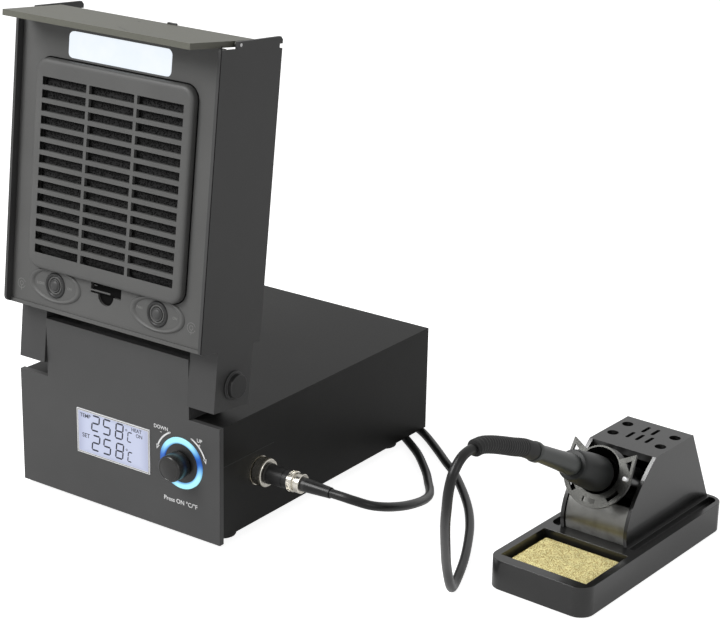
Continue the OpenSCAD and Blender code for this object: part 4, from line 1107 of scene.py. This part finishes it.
def tube(name: str, path: Sequence[Vector], radii: Sequence[float], sides: int) -> bpy.types.Mesh:
    """Returns the mesh of a round tube.

    Args:
        name: the mesh's name.
        path: the points it follows.
        radii: its radius at each point.
        sides: faces round it, an even number.

    Returns:
        The mesh, with closed ends.
    """
    curve = bpy.data.curves.new(name, "CURVE")
    curve.dimensions = "3D"
    curve.bevel_depth = 1.0
    curve.bevel_resolution = (sides - 4) // 2
    curve.use_fill_caps = True
    spline = curve.splines.new("POLY")
    spline.points.add(len(path) - 1)
    for point, place, radius in zip(spline.points, path, radii):
        point.co = (*place, 1.0)
        point.radius = radius
    holder = linked(name, curve)
    bpy.context.view_layer.update()
    mesh = bpy.data.meshes.new_from_object(holder.evaluated_get(bpy.context.evaluated_depsgraph_get()))
    bpy.data.objects.remove(holder)
    whole = bmesh.new()
    whole.from_mesh(mesh)
    bmesh.ops.remove_doubles(whole, verts=whole.verts, dist=1e-7)
    bmesh.ops.recalc_face_normals(whole, faces=whole.faces)
    whole.to_mesh(mesh)
    whole.free()
    mesh.name = name
    return mesh


# ---------------------------------------------------------------- the station's case


@dataclass
class StationCase:
    """The folded cover, tray, rear panel, feet, mains unit and what is inside.

    Attributes:
        edge: rounding of the moulded edges.
        seam_low: front and lower end of the line on the cover's side, as depth and height.
        seam_high: its rear and upper end.
    """

    edge: float = 0.5
    seam_low: tuple[float, float] = (4.4, 55.9)
    seam_high: tuple[float, float] = (57.1, 56.4)

    def shells(self) -> None:
        """Makes the outer pieces with rounded edges."""
        station = Body.STATION
        softened("case_cover_sheet", "case_cover", station, Finishes.COVER, 0.45)
        softened("front_panel_moulding", "front_panel", station, Finishes.PANEL, self.edge)
        softened("hinge_tower_shell", "hinge_tower", station, Finishes.PANEL, self.edge)
        softened("rear_panel_sheet", "rear_panel", station, Finishes.COVER, 0.25)
        softened("mains_inlet_body", "mains_inlet", station, Finishes.BLACK, 0.4)
        softened("case_feet_rubber", "case_feet", station, Finishes.FEET, 0.8)
        softened("hinge_caps_black", "hinge_caps", station, Finishes.BLACK, 0.6)
        softened("mains_rocker", "power_rocker", Body.SWITCH, Finishes.ROCKER, 0.4)

    def seam(self) -> None:
        """Paints shade as a thin dark line along the seam on the cover's right side."""
        blank = Blank()
        blank.block((CASE_SIDE - 0.2, *self.seam_low), (CASE_SIDE + 0.15, *self.seam_high))
        blank.soften(0.03, 1)
        blank.out("cover_seam_shade", Body.STATION, Finishes.SHADE_LINE, CASE)

    def dress(self) -> None:
        """Gives the other nodes of the case their finishes."""
        dress({
            "base_tray": Finishes.COVER, "case_screws": Finishes.SCREW, "hinge_pins": Finishes.BRIGHT,
            "control_board": Finishes.BOARD, "main_board": Finishes.BOARD,
            "power_transformer": Finishes.TAPE, "board_standoffs": Finishes.BRASS,
            "encoder_body": Finishes.ENCODER, "encoder_shaft": Finishes.BRIGHT,
            "display_module": Finishes.MODULE, "socket_nut": Finishes.ENCODER,
        })

    def build(self) -> None:
        """Builds the whole case."""
        self.shells()
        self.seam()
        self.dress()


# ---------------------------------------------------------------- the controls


@dataclass
class SegmentDigit:
    """A seven-segment figure, drawn as separate bars.

    Attributes:
        height: from the lowest bar's middle to the highest one's.
        width: between the middles of the upright bars.
        bar: a bar's thickness.
        slant: how far the top leans over, as a share of the height.
        shapes: the bars of each figure.
    """

    height: float
    width: float
    bar: float
    slant: float = 0.12
    shapes: dict[str, str] = field(default_factory=lambda: {
        "2": "abged", "5": "afgcd", "8": "abcdefg", "C": "afed",
    })

    def bars(self) -> dict[str, tuple[float, float, bool]]:
        """Returns each bar's middle (x, y) and whether it lies flat."""
        w, h = self.width / 2, self.height / 2
        return {"a": (0, h, True), "g": (0, 0, True), "d": (0, -h, True),
                "b": (w, h / 2, False), "c": (w, -h / 2, False),
                "f": (-w, h / 2, False), "e": (-w, -h / 2, False)}

    def draw(self, blank: Blank, figure: str, place: Matrix) -> None:
        """Adds the figure to blank, with its middle at place."""
        lean = Matrix(((1, self.slant, 0, 0), (0, 1, 0, 0), (0, 0, 1, 0), (0, 0, 0, 1)))
        for name in self.shapes[figure]:
            x, y, flat = self.bars()[name]
            length = (self.width if flat else self.height / 2) / 2 - self.bar * 0.12
            turn = Matrix.Identity(4) if flat else Matrix.Rotation(math.pi / 2, 4, "Z")
            half = self.bar / 2
            outline = [(-length, 0), (half - length, -half), (length - half, -half), (length, 0),
                       (length - half, half), (half - length, half)]
            blank.plate(outline, 0, place @ lean @ Matrix.Translation((x, y, 0)) @ turn)


@dataclass
class ControlFace:
    """The display, the knob in its lit ring and the print on the front panel.

    Attributes:
        lcd: the display's middle, across and up.
        lcd_size: its width and height.
        lcd_rim: from its edge to the lit pane.
        knob: the knob's middle, across and up.
        front: how far the display stands out of the panel, out being negative.
        arc_radius: radius of the printed arcs round the knob.
        rows: middle of each row of figures, as a share of the height from the top.
        columns: middle of each figure, as a share of the width.
    """

    lcd: tuple[float, float] = (82.3, 52.8)
    lcd_size: tuple[float, float] = (63.4, 31.5)
    lcd_rim: float = 1.35
    knob: tuple[float, float] = (140.4, 52.5)
    front: float = -0.3
    arc_radius: float = 21
    rows: tuple[float, ...] = (0.245, 0.69)
    columns: tuple[float, ...] = (0.262, 0.418, 0.59)

    def display(self) -> None:
        """Builds the clear frame, the lit pane and the thin lines round it: painted shade in the frame's
        inner gap, a painted highlight on the frame's edge, and a white border.
        """
        (x, z), (w, h), edge = self.lcd, self.lcd_size, self.lcd_rim
        rim = Blank()
        rim.block((x - w / 2, self.front, z - h / 2), (x + w / 2, 1.7, z + h / 2))
        front = [f for f in rim.mesh.faces if f.normal.y < -0.9]
        bmesh.ops.inset_region(rim.mesh, faces=front, thickness=0.55, depth=0, use_even_offset=True)
        bmesh.ops.inset_region(rim.mesh, faces=front, thickness=0.35, depth=-0.3, use_even_offset=True)
        window = rim.out("display_frame", Body.STATION, Finishes.CLEAR, CASE)
        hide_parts("display_window")
        pane = Blank()
        pane.block((x - w / 2 + edge, self.front - 0.02, z - h / 2 + edge),
                   (x + w / 2 - edge, self.front + 0.3, z + h / 2 - edge))
        pane.soften(0.1, 1)
        glow = Backlight("display pane", "display_unit", CASE @ Vector((x, self.front, z)))
        pane.out("display_pane", Body.STATION, glow, CASE)
        # display_gap_shade is painted shade and display_edge_highlight is a painted highlight on the clear
        # frame; display_border is the white border
        for name, inset, half, lift, finish in (("display_gap_shade", 0.84, 0.17, 0.04, Finishes.SHADE_LINE),
                                                ("display_edge_highlight", 0.34, 0.33, 0.03, Finishes.PRINT),
                                                ("display_border", 1.2, 0.19, 0.05, Finishes.PRINT)):
            bars = Blank()
            outer = (w / 2 - inset, h / 2 - inset)
            for s in (-1, 1):
                bars.block((x - outer[0], self.front - lift, z + s * outer[1] - half),
                           (x + outer[0], self.front + 0.02, z + s * outer[1] + half))
                bars.block((x + s * outer[0] - half, self.front - lift, z - outer[1]),
                           (x + s * outer[0] + half, self.front + 0.02, z + outer[1]))
            bars.out(name, Body.STATION, finish, CASE)

    def figures(self) -> None:
        """Draws the two rows of figures and the words beside them."""
        (x, z), (w, h) = self.lcd, self.lcd_size
        plane = facing(CASE, x, self.front - 0.06, z)
        blank = Blank()
        tall = SegmentDigit(10.5, 6.0, 1.15)
        small = SegmentDigit(6.7, 3.4, 0.85)
        for row in self.rows:
            y = h * (0.5 - row)
            for figure, u in zip("258", self.columns):
                tall.draw(blank, figure, plane @ Matrix.Translation((w * (u - 0.5), y, 0)))
            small.draw(blank, "C", plane @ Matrix.Translation((w * 0.232, y - 1.85, 0)))
            blank.arc(0.65, 0.35, 0, 360, plane @ Matrix.Translation((w * 0.187, y + 2.6, 0)), 16)
        blank.out("display_figures", Body.STATION, Finishes.SEGMENT, recalculate=False)
        words = [("TEMP", -0.38 * w, 0.36 * h, 2.7), ("SET", -0.375 * w, -0.085 * h, 3.0),
                 ("HEAT", 0.325 * w, 0.385 * h, 2.5), ("ON", 0.36 * w, 0.275 * h, 2.5)]
        lettering("display_words", words, Body.STATION, Finishes.SEGMENT, plane)

    def knob_and_ring(self) -> None:
        """Builds the knob with its turned edge, and the lit ring."""
        x, z = self.knob
        knob = Blank()
        knob.turned([(4.2, 4.8), (4.2, 1.6), (8.4, 1.6), (8.7, 1.9), (9.0, 3.2), (8.86, 11.6), (8.6, 12.4),
                     (8.0, 12.9), (7.4, 13.0), (7.25, 12.86), (6.9, 12.84), (6.6, 13.0), (0, 12.94)], 72)
        made = knob.out("knob_cap", Body.KNOB, Finishes.KNOB, facing(CASE, x, 0, z))
        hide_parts("control_knob")
        # painted shade: a black disc that darkens the recess round the knob
        disc = Blank()
        disc.turned([(4.4, 0.0), (4.4, 0.35), (12.9, 0.35), (13.3, 0.2), (13.3, 0.0)], 64)
        disc.out("knob_recess_shade", Body.STATION, Finishes.BLACK, facing(CASE, x, 0, z))
        halo = Halo("knob halo", "light_guide", CASE @ Vector((x, -0.6, z)))
        ring = Blank()
        ring.turned([(13.5, -2.4), (17.5, -2.4), (17.5, 0.35), (17.2, 0.6), (13.8, 0.6), (13.5, 0.35),
                     (13.5, -2.4)], 72)
        lit = ring.out("knob_halo", Body.STATION, halo, facing(CASE, x, 0, z))
        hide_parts("knob_light_ring")

    def prints(self) -> None:
        """Prints the arcs and words on the panel."""
        x, z = self.knob
        plane = facing(CASE, x, -0.04, z)
        arcs = Blank()
        arcs.arc(self.arc_radius, 1.15, 160, 116, plane)
        arcs.arc(self.arc_radius, 1.15, 66, 20, plane)
        for angle, way in ((161, 0.0), (19, math.pi)):
            arcs.plate([(-1.4, -1.2), (1.4, -1.2), (0, 2.2)], 0,
                       plane @ Matrix.Rotation(math.radians(angle), 4, "Z")
                       @ Matrix.Translation((self.arc_radius, 0, 0)) @ Matrix.Rotation(way, 4, "Z"))
        for px, pz, flat in ((-16.8, 17.4, True), (15.2, 16.3, True), (15.2, 16.3, False)):
            half, tall = (0.75, 0.17) if flat else (0.17, 0.75)
            arcs.bar((-half, -tall), (half, tall), 0, plane @ Matrix.Translation((px, pz, 0)))
        arcs.out("knob_arcs", Body.STATION, Finishes.PRINT, recalculate=False)
        words = [("DOWN", -16.8, 20.4, 2.5), ("UP", 15.2, 19.3, 2.5), ("Press ON °C/°F", -0.9, -27.8, 3.0)]
        lettering("panel_words", words, Body.STATION, Finishes.PRINT, plane)

    def build(self) -> None:
        """Builds all of the controls."""
        self.display()
        self.figures()
        self.knob_and_ring()
        self.prints()


@dataclass
class IronPlug:
    """The socket on the case's side and the round plug in it.

    Attributes:
        height: the plug's middle above the table.
        depth: its middle behind the panel's front.
    """

    height: float = 43.2
    depth: float = 38.7

    def along(self) -> Matrix:
        """Returns the plug's frame, with Z along the plug, out of the case."""
        return (CASE @ Matrix.Translation((CASE_SIDE, self.depth, self.height))
                @ Matrix.Rotation(math.pi / 2, 4, "Y"))

    def knurled(self, name: str, body: Body, profile: Sequence[tuple[float, float]], low: float,
                high: float, radius: float, teeth: int, replaced: str) -> bpy.types.Object:
        """Makes a turned ring with fine ridges along part of it.

        Args:
            name: the piece's name.
            body: the body it rides on.
            profile: (radius, height) of the turned ring.
            low: where the ridges start.
            high: where they end.
            radius: the ridges' outer radius.
            teeth: how many ridges.
            replaced: the CAD node it stands for.

        Returns:
            The ring.
        """
        blank = Blank()
        blank.turned(profile, 64)
        for k in range(teeth):
            turn = Matrix.Rotation(TURN * k / teeth, 4, "Z")
            verts = blank.block((radius - 0.5, -0.18, low), (radius + 0.18, 0.18, high))
            bmesh.ops.transform(blank.mesh, matrix=turn, verts=verts)
        made = blank.out(name, body, Finishes.COUPLING, self.along(), smooth=25)
        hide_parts(replaced)
        return made

    def build(self) -> list[bpy.types.Object]:
        """Builds the visible metal rings and dresses the rest.

        Returns:
            The pieces that go with the cord.
        """
        ring = self.knurled(
            "coupling_ring_knurled", Body.RING,
            [(6.55, 3), (9.0, 3), (9.4, 3.4), (9.4, 9.9), (9.0, 10.3), (6.55, 10.3), (6.55, 3)],
            4.0, 9.3, 9.4, 60, "plug_coupling_ring")
        clamp = self.knurled(
            "plug_clamp_nut", Body.STATION,
            [(0, 28.3), (6.4, 28.3), (6.8, 28.7), (6.8, 32), (6.4, 32.4), (5.4, 32.5), (5.4, 33.9),
             (6.1, 34.1), (6.5, 34.5), (6.5, 37.6), (6.1, 38), (0, 38)],
            29.1, 31.7, 6.8, 40, "plug_clamp")
        neck = Blank()
        neck.turned([(0, 23.9), (6.2, 23.9), (6.2, 28.4), (0, 28.4)], 48)
        neck.turned([(0, 37.9), (4.7, 37.9), (4.5, 41.1), (0, 41.1)], 48)
        throat = neck.out("plug_neck", Body.STATION, Finishes.BLACK, self.along())
        dress({"iron_socket": Finishes.COUPLING, "plug_body": Finishes.BLACK,
               "plug_sleeve": Finishes.CORD, "cord_tie": Finishes.BLACK})
        return [ring, clamp, throat] + [frame["nodes"][n] for n in ("plug_body", "plug_sleeve", "cord_tie")]


# ---------------------------------------------------------------- the extractor head


@dataclass
class ExtractorHead:
    """The fold-down head: cheeks, face, lamp, filter cover, buttons and visor.

    Attributes:
        face: the face's depth, in front of the hinge being negative.
        buttons: the buttons' distance from the middle, and their height.
        cover: the filter cover's lowest and highest corner, across and up.
        cover_round: radius of its corners.
        cover_steps: (inset, rise) of each step of its rim, from the back to the face.
        cover_gap: how far it stands off the face.
        opening: lowest and highest corner of the part with the slots.
        slots: how many slots across and up.
        slot_across: left and right side of the first column of slots.
        slot_up: lower and upper side of the lowest row.
        slot_pitch: from one slot to the next, across and up.
        window: the lamp window's lowest and highest corner.
        window_inset: how far the lit part lies inside them.
        foam_swell: how far the foam stands out behind the slots.
    """

    face: float = -30.2
    buttons: tuple[float, float] = (43.3, 42.4)
    cover: tuple[tuple[float, float], tuple[float, float]] = ((-64.6, 52.4), (64.6, 188.8))
    cover_round: float = 9
    cover_steps: tuple[tuple[float, float], ...] = (
        (0, 2.2), (0.1, 0.9), (0.35, 0.8), (0.75, 0.65), (1.0, 0.35), (1.2, 0.15),
    )
    cover_gap: float = 0.2
    opening: tuple[tuple[float, float], tuple[float, float]] = ((-58.0, 62.9), (58.0, 177.0))
    slots: tuple[int, int] = (3, 14)
    slot_across: tuple[float, float] = (-58, -20.933)
    slot_up: tuple[float, float] = (62.9, 68.3)
    slot_pitch: tuple[float, float] = (39.467, 8.3615)
    window: tuple[tuple[float, float], tuple[float, float]] = ((-42.2, 190.65), (42.2, 207.95))
    window_inset: float = 0.3
    foam_swell: float = 4.2

    def plane(self, x: float, w: float, lift: float = 0.05) -> Matrix:
        """Returns a drawing plane on the face, at x across and w up."""
        return facing(HEAD, x, self.face - lift, w)

    def flat_front(self, shape: bmesh.types.BMesh) -> None:
        """Presses the raised rims of the face flat, to make room for rounder ones."""
        inverse = HEAD.inverted()
        for vert in shape.verts:
            spot = inverse @ vert.co
            if self.face - 2 < spot.y < self.face - 0.05:
                spot.y = self.face
                vert.co = HEAD @ spot

    def shells(self) -> None:
        """Rounds the edges of the head's moulded parts."""
        head = Body.HEAD
        softened("left_cheek_moulding", "left_cheek", head, Finishes.HEAD, 0.5)
        softened("right_cheek_moulding", "right_cheek", head, Finishes.HEAD, 0.5)
        softened("face_moulding", "face_panel", head, Finishes.FACE, 0.3, edit=self.flat_front)
        softened("housing_moulding", "head_housing", head, Finishes.FACE, 0.4)
        softened("visor_lip", "visor", Body.VISOR, Finishes.VISOR, 0.5)
        dress({"lamp_board": Finishes.BOARD, "fan_frame": Finishes.BLACK,
               "button_board": Finishes.BOARD, "visor_pins": Finishes.BRIGHT,
               "fan_rotor": Finishes.BLACK})

    def grille(self) -> None:
        """Builds the filter cover: a crowned frame round rows of slots."""
        low, high = (Vector((x, 0, w)) for x, w in self.cover)
        plane = facing(HEAD, 0, self.face - self.cover_gap, 0)
        cover = Blank()
        cover.crowned(rounded(low.x, low.z, high.x, high.z, self.cover_round, 9),
                      self.cover_steps, self.opening, 2.2, plane)
        front = 5.05  # the rim's rises together
        across = sorted(x + c * self.slot_pitch[0] for c in range(self.slots[0]) for x in self.slot_across)
        upward = sorted(w + r * self.slot_pitch[1] for r in range(self.slots[1]) for w in self.slot_up)
        for c, (left, right) in enumerate(zip(across, across[1:])):
            for r, (bottom, top) in enumerate(zip(upward, upward[1:])):
                if c % 2 or r % 2:  # even ones both ways are the slots
                    cover.bar((left, bottom), (right, top), 0, plane @ Matrix.Translation((0, 0, front)))
        bmesh.ops.remove_doubles(cover.mesh, verts=cover.mesh.verts, dist=1e-6)
        cover.thicken([f for f in cover.mesh.faces if cover.flat_at(f, plane, front, *self.opening)],
                      plane.to_3x3() @ Vector((0, 0, -2.5)))
        made = cover.out("filter_grille", Body.DOOR, Finishes.FACE, smooth=40)
        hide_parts("filter_cover")

    def lamp(self) -> None:
        """Builds the lit window with a soft edge."""
        low, high = (Vector((x, 0, w)) for x, w in self.window)
        inset = self.window_inset
        window = Blank()
        window.block((low.x + inset, self.face - 0.45, low.z + inset),
                     (high.x - inset, self.face + 1.8, high.z - inset))
        upright = [e for e in window.mesh.edges if abs(e.verts[0].co.y - e.verts[1].co.y) > 1]
        bmesh.ops.bevel(window.mesh, geom=upright, offset=3.4, offset_type="OFFSET", affect="EDGES",
                        segments=6, profile=0.5, material=-1)
        window.soften(0.5, 3, 60)
        lit = window.out("lamp_window", Body.HEAD, Finishes.LAMP, HEAD)
        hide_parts("lamp_lens")

    def button(self, side: int) -> None:
        """Builds one button: its cap, its rings and the oval rim round them."""
        name, body = ("left", Body.LEFT) if side < 0 else ("right", Body.RIGHT)
        at = self.plane(side * self.buttons[0], self.buttons[1], 0)
        cap = Blank()
        cap.turned([(0, -2), (4.3, -2), (4.4, 0.2), (4.3, 0.7), (4.0, 0.85), (3.7, 0.7), (3.4, 0.7),
                    (3.1, 1.1), (2.5, 1.5), (1.3, 1.75), (0, 1.8)], 40)
        made = cap.out(f"{name}_button_cap", body, Finishes.HEAD, at)
        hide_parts(f"{name}_button")
        outer = Blank()
        outer.turned([(6.3, 0.0), (6.3, 0.5), (6.8, 0.95), (7.7, 0.95), (8.3, 0.5), (8.5, 0.0)], 48)
        outer.out(f"{name}_button_surround", Body.HEAD, Finishes.BLACK, at)
        inner = Blank()
        inner.turned([(4.75, -0.2), (4.75, 0.35), (5.0, 0.6), (5.6, 0.6), (5.9, 0.35), (5.95, -0.05)], 48)
        inner.out(f"{name}_button_ring", Body.HEAD, Finishes.FACE, at)
        rim = Blank()
        rim.turned([(0.8, -0.05), (0.83, 0.5), (0.88, 1.15), (0.93, 1.25), (0.98, 0.6), (1.0, -0.05)], 72)
        rim.out(f"{name}_eye_rim", Body.HEAD, Finishes.FACE,
                at @ Matrix.Diagonal((22.5, 11.5, 1, 1)), smooth=60)

    def marks(self) -> None:
        """Prints the faint words and icons beside the buttons."""
        words = [("LIGHT", -56.0, 41.5, 1.7), ("ON", -31.0, 42.5, 1.7), ("FAN", 28.5, 43.5, 1.8),
                 ("ON", 57.5, 42.6, 1.7)]
        lettering("face_words", words, Body.HEAD, Finishes.FAINT, self.plane(0, 0))
        icon = Blank()
        for x, w in ((-73.0, 38.0), (71.0, 39.7)):
            spot = self.plane(x, w)
            icon.arc(3.2, 0.3, 20, 340, spot)
            icon.arc(1.4, 0.3, 0, 360, spot)
            icon.bar((-0.15, -4.6), (0.15, -1.4), 0, spot)
        icon.out("face_icons", Body.HEAD, Finishes.FAINT, recalculate=False)

    def latch(self) -> None:
        """Builds the latch recess under the filter cover: a near-black sheet behind the slot as painted
        shade, with a light lip and catch.
        """
        # painted shade: a near-black sheet behind the slot
        dark = Blank()
        dark.bar((-14.5, 38), (12.5, 54), 0.2, self.plane(0, 0, -2.35))
        dark.out("latch_recess_shade", Body.HEAD, Finishes.GAP_SHADE)
        lip = Blank()
        lip.bar((-13.6, 46.2), (4.4, 47.3), 0.8, self.plane(0, 0, 0.1))
        lip.bar((-10.8, 49.2), (-8.4, 50), 0.6, self.plane(0, 0, -1.4))
        lip.soften(0.2, 2)
        lip.out("latch_lip", Body.HEAD, Finishes.FACE)

    def gaps(self) -> None:
        """Paints shade into the gaps round the filter cover and along the right cheek's front edge, as
        near-black strips.
        """
        ring = Blank()
        place = self.plane(0, 0, 0.1)
        loops = []
        low, high = self.cover
        for grow in (-0.4, 0.9):
            outline = rounded(low[0] - grow, low[1] - grow, high[0] + grow, high[1] + grow,
                              self.cover_round + grow, 9)
            spots = [ring.mesh.verts.new(place @ Vector((x, z, 0))) for x, z in outline]
            loops += [ring.mesh.edges.new(pair) for pair in zip(spots, spots[1:] + spots[:1])]
        bmesh.ops.bridge_loops(ring.mesh, edges=loops)
        ring.out("filter_cover_gap_shade", Body.HEAD, Finishes.GAP_SHADE)
        edge = Blank()
        edge.block((83.2, -34.9, 26), (83.42, -34.4, 216))
        edge.out("cheek_edge_shade", Body.HEAD, Finishes.GAP_SHADE, HEAD)

    def visor_details(self) -> None:
        """Adds the nub on the visor, and dark marks that paint the shade in its fold line and small hole."""
        top = extent("visor", HEAD)[1].z
        # painted shade: a thin black bar along the fold
        line = Blank()
        line.block((0, -0.14, 0), (16.6, 0.14, 0.09))
        turn = (HEAD @ Matrix.Translation((10.2, -43.6, top - 0.02))
                @ Matrix.Rotation(math.atan2(-8.3, 14.5), 4, "Z"))
        line.out("visor_fold_shade", Body.VISOR, Finishes.BLACK, turn)
        # painted shade: a dark disc for the hole
        hole = Blank()
        bmesh.ops.create_circle(hole.mesh, cap_ends=True, segments=20, radius=0.9,
                                matrix=Matrix.Translation((-3.3, -9.9, top + 0.02)))
        hole.out("visor_hole_shade", Body.VISOR, Finishes.SHADE_LINE, HEAD, recalculate=False)
        nub = Blank()
        nub.block((10.4, 0.8, top - 0.4), (17.8, 2.6, top + 1.1))
        nub.soften(0.4, 2)
        nub.out("visor_nub", Body.VISOR, Finishes.BLACK, HEAD)

    def foam(self) -> None:
        """Builds the foam filter as a soft pad that swells towards the slots."""
        low, high = extent("foam_filter", HEAD)
        pad = Blank()
        pad.block(tuple(low), tuple(high))
        bmesh.ops.subdivide_edges(pad.mesh, edges=pad.mesh.edges, cuts=23, use_grid_fill=True)
        for vert in pad.mesh.verts:
            if vert.co.y < low.y + 0.1:
                wave = noise.noise(vert.co * 0.09) * 0.35
                edge = min(vert.co.x - low.x, high.x - vert.co.x, vert.co.z - low.z, high.z - vert.co.z)
                swell = self.foam_swell if abs(vert.co.x) < 58.5 and 61 < vert.co.z < 179 else 0.0
                vert.co.y += 0.35 + wave + 1.4 * math.exp(-edge / 1.5) - swell
        made = pad.out("foam_pad", Body.HEAD, Finishes.FOAM, HEAD, smooth=60)
        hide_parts("foam_filter")

    def build(self) -> None:
        """Builds the whole head."""
        self.shells()
        self.grille()
        self.lamp()
        for side in (-1, 1):
            self.button(side)
        self.marks()
        self.latch()
        self.gaps()
        self.visor_details()
        self.foam()


# ---------------------------------------------------------------- the stand and the iron


@dataclass
class IronStand:
    """The stand's base, tower, shield, holder and sponge.

    Attributes:
        sponge_rise: sets the sponge's crown, which is 0.3 of it.
    """

    sponge_rise: float = 0.9

    def build(self) -> None:
        """Builds the stand's parts."""
        station = Body.STATION
        softened("stand_base_casting", "stand_base", station, Finishes.STAND, 1.3, 3)
        softened("stand_tower_casting", "stand_tower", station, Finishes.STAND, 1.1, 3)
        softened("holder_plate", "holder_ring", station, Finishes.HOLDER, 0.22)
        softened("stand_shield_glossy", "stand_shield", station, Finishes.SHIELD, 0.3)
        dress({"stand_feet": Finishes.FEET, "holder_tube": Finishes.TUBE,
               "holder_screws": Finishes.BRIGHT})
        self.sponge()

    def sponge(self) -> None:
        """Builds the damp sponge: a crowned block with soft edges and an uneven top."""
        low, high = extent("cleaning_sponge", STAND)
        pad = Blank()
        pad.block(tuple(low), tuple(high))
        pad.soften(1.1, 3)
        bmesh.ops.triangulate(pad.mesh, faces=pad.mesh.faces)
        pad.mesh.faces.ensure_lookup_table()
        bmesh.ops.subdivide_edges(pad.mesh, edges=pad.mesh.edges, cuts=30, use_grid_fill=True)
        for vert in pad.mesh.verts:
            across = 1 - abs(vert.co.x - (low.x + high.x) / 2) / ((high.x - low.x) / 2)
            along = 1 - abs(vert.co.y - (low.y + high.y) / 2) / ((high.y - low.y) / 2)
            crown = min(1.0, 3 * max(across, 0)) * min(1.0, 3 * max(along, 0))
            if vert.co.z > high.z - 0.4:
                vert.co.z += crown * self.sponge_rise * 0.3 + noise.noise(vert.co * 0.5) * 0.16
                vert.co.z += noise.noise(vert.co * 0.13) * 0.3 - 0.3
            shrink = 0.35 * (1 - crown)
            vert.co.x += shrink * (1 if vert.co.x < (low.x + high.x) / 2 else -1) * 0.5
        made = pad.out("sponge_pad", Body.SPONGE, Finishes.SPONGE, STAND, smooth=60)
        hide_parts("cleaning_sponge")


@dataclass
class SolderingIron:
    """The iron: ribbed boot, turned handle, silicone grip, barrel and tip.

    Attributes:
        boot: the boot's curve from the handle to the cord, as steps back and up.
        boot_start: where the boot starts, back along the iron from its frame's origin.
        boot_radius: its radius at the handle.
        rib_start: how far along it the ribs start.
        rib_pitch: from one rib to the next.
        grip: where the grip starts along the iron.
        end: where it ends.
    """

    boot: tuple[tuple[float, float], ...] = (
        (0, 0), (-12 * math.cos(IRON_TILT), 12 * math.sin(IRON_TILT)), (-22, 10.1), (-33, 14.6),
        (-44, 18.8), (-54, 21.8), (-62, 22.3),
    )
    boot_start: float = 79.5
    boot_radius: float = 5.8
    rib_start: float = 13
    rib_pitch: float = 2.6
    grip: float = -29.0
    end: float = 10.0

    def strain_relief(self) -> None:
        """Builds the boot with its flexing ribs."""
        x, y0, z0 = IRON_PLACE
        start = (y0 - self.boot_start * math.cos(IRON_TILT), z0 + self.boot_start * math.sin(IRON_TILT))
        points = [Vector((x, start[0] + y, start[1] + z)) for y, z in self.boot]
        route = [STAND @ p for p in smooth_route(points, 40)]
        run = [0.0]
        for a, b in zip(route, route[1:]):
            run.append(run[-1] + (b - a).length * 1000)
        radii = []
        for s in run:
            plain = self.boot_radius - 0.6 * s / run[-1]
            ribbed = self.rib_start < s < run[-1] - 2.5
            wave = math.cos(TURN * (s - self.rib_start) / self.rib_pitch)
            cut = 0.45 * (0.5 - 0.5 * wave) if ribbed else 0.0
            radii.append((plain - cut - (0.5 if s < 1.2 or s > run[-1] - 0.8 else 0)) / 1000)
        data = tube("iron_boot", route, radii, 28)
        made = finished("iron_boot", data, Body.IRON, Finishes.FEET, 28)
        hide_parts("iron_strain_relief")

    def turned_part(self, name: str, node: str, finish: Finish,
                    profile: Sequence[tuple[float, float]]) -> None:
        """Builds a turned part of the iron that stands for a CAD node."""
        blank = Blank()
        blank.turned(profile, 64)
        made = blank.out(name, Body.IRON, finish, IRON, smooth=30)
        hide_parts(node)

    def build(self) -> None:
        """Builds the iron's visible parts."""
        g, e = self.grip, self.end
        collar = extent("iron_handle", IRON)[0].z
        self.strain_relief()
        self.turned_part("handle_shell", "iron_handle", Finishes.HANDLE, [
            (0, collar), (5.8, collar), (6.15, collar + 0.3), (6.4, collar + 1), (6.4, collar + 3.8),
            (6.1, collar + 4.2), (5.3, collar + 4.6), (5.4, collar + 9), (5.65, collar + 15),
            (6.15, g - 18), (6.5, g - 12), (6.8, g - 4), (6.85, g - 1.6), (6.5, g - 1.2), (6.5, g), (0, g)])
        self.turned_part("grip_sleeve", "iron_grip", Finishes.GRIP, [
            (0, g), (8.2, g), (9.2, g + 0.2), (9.65, g + 0.8), (10.05, g + 3), (10.3, g + 6),
            (10.6, g + 10), (10.9, g + 14), (11.15, g + 18), (11.35, g + 22), (11.5, g + 25.5),
            (11.6, g + 29), (11.6, 2), (11.4, e - 5), (11.2, e - 3.2), (10.6, e - 1.6), (9.9, e - 0.6),
            (9, e), (0, e)])
        dress({"iron_barrel": Finishes.BARREL, "iron_heater": Finishes.BRIGHT,
               "iron_tip": Finishes.TIP})


# ---------------------------------------------------------------- the whole scene


def main() -> None:
    """Builds the studio, the cord and each sub-assembly."""
    Studio().build()
    fittings = IronPlug().build()
    IronCord().build(fittings)
    for assembly in (StationCase(), ControlFace(), ExtractorHead(), IronStand(), SolderingIron()):
        log.info("building %s", type(assembly).__name__)
        assembly.build()


if __name__ == "__main__":
    main()
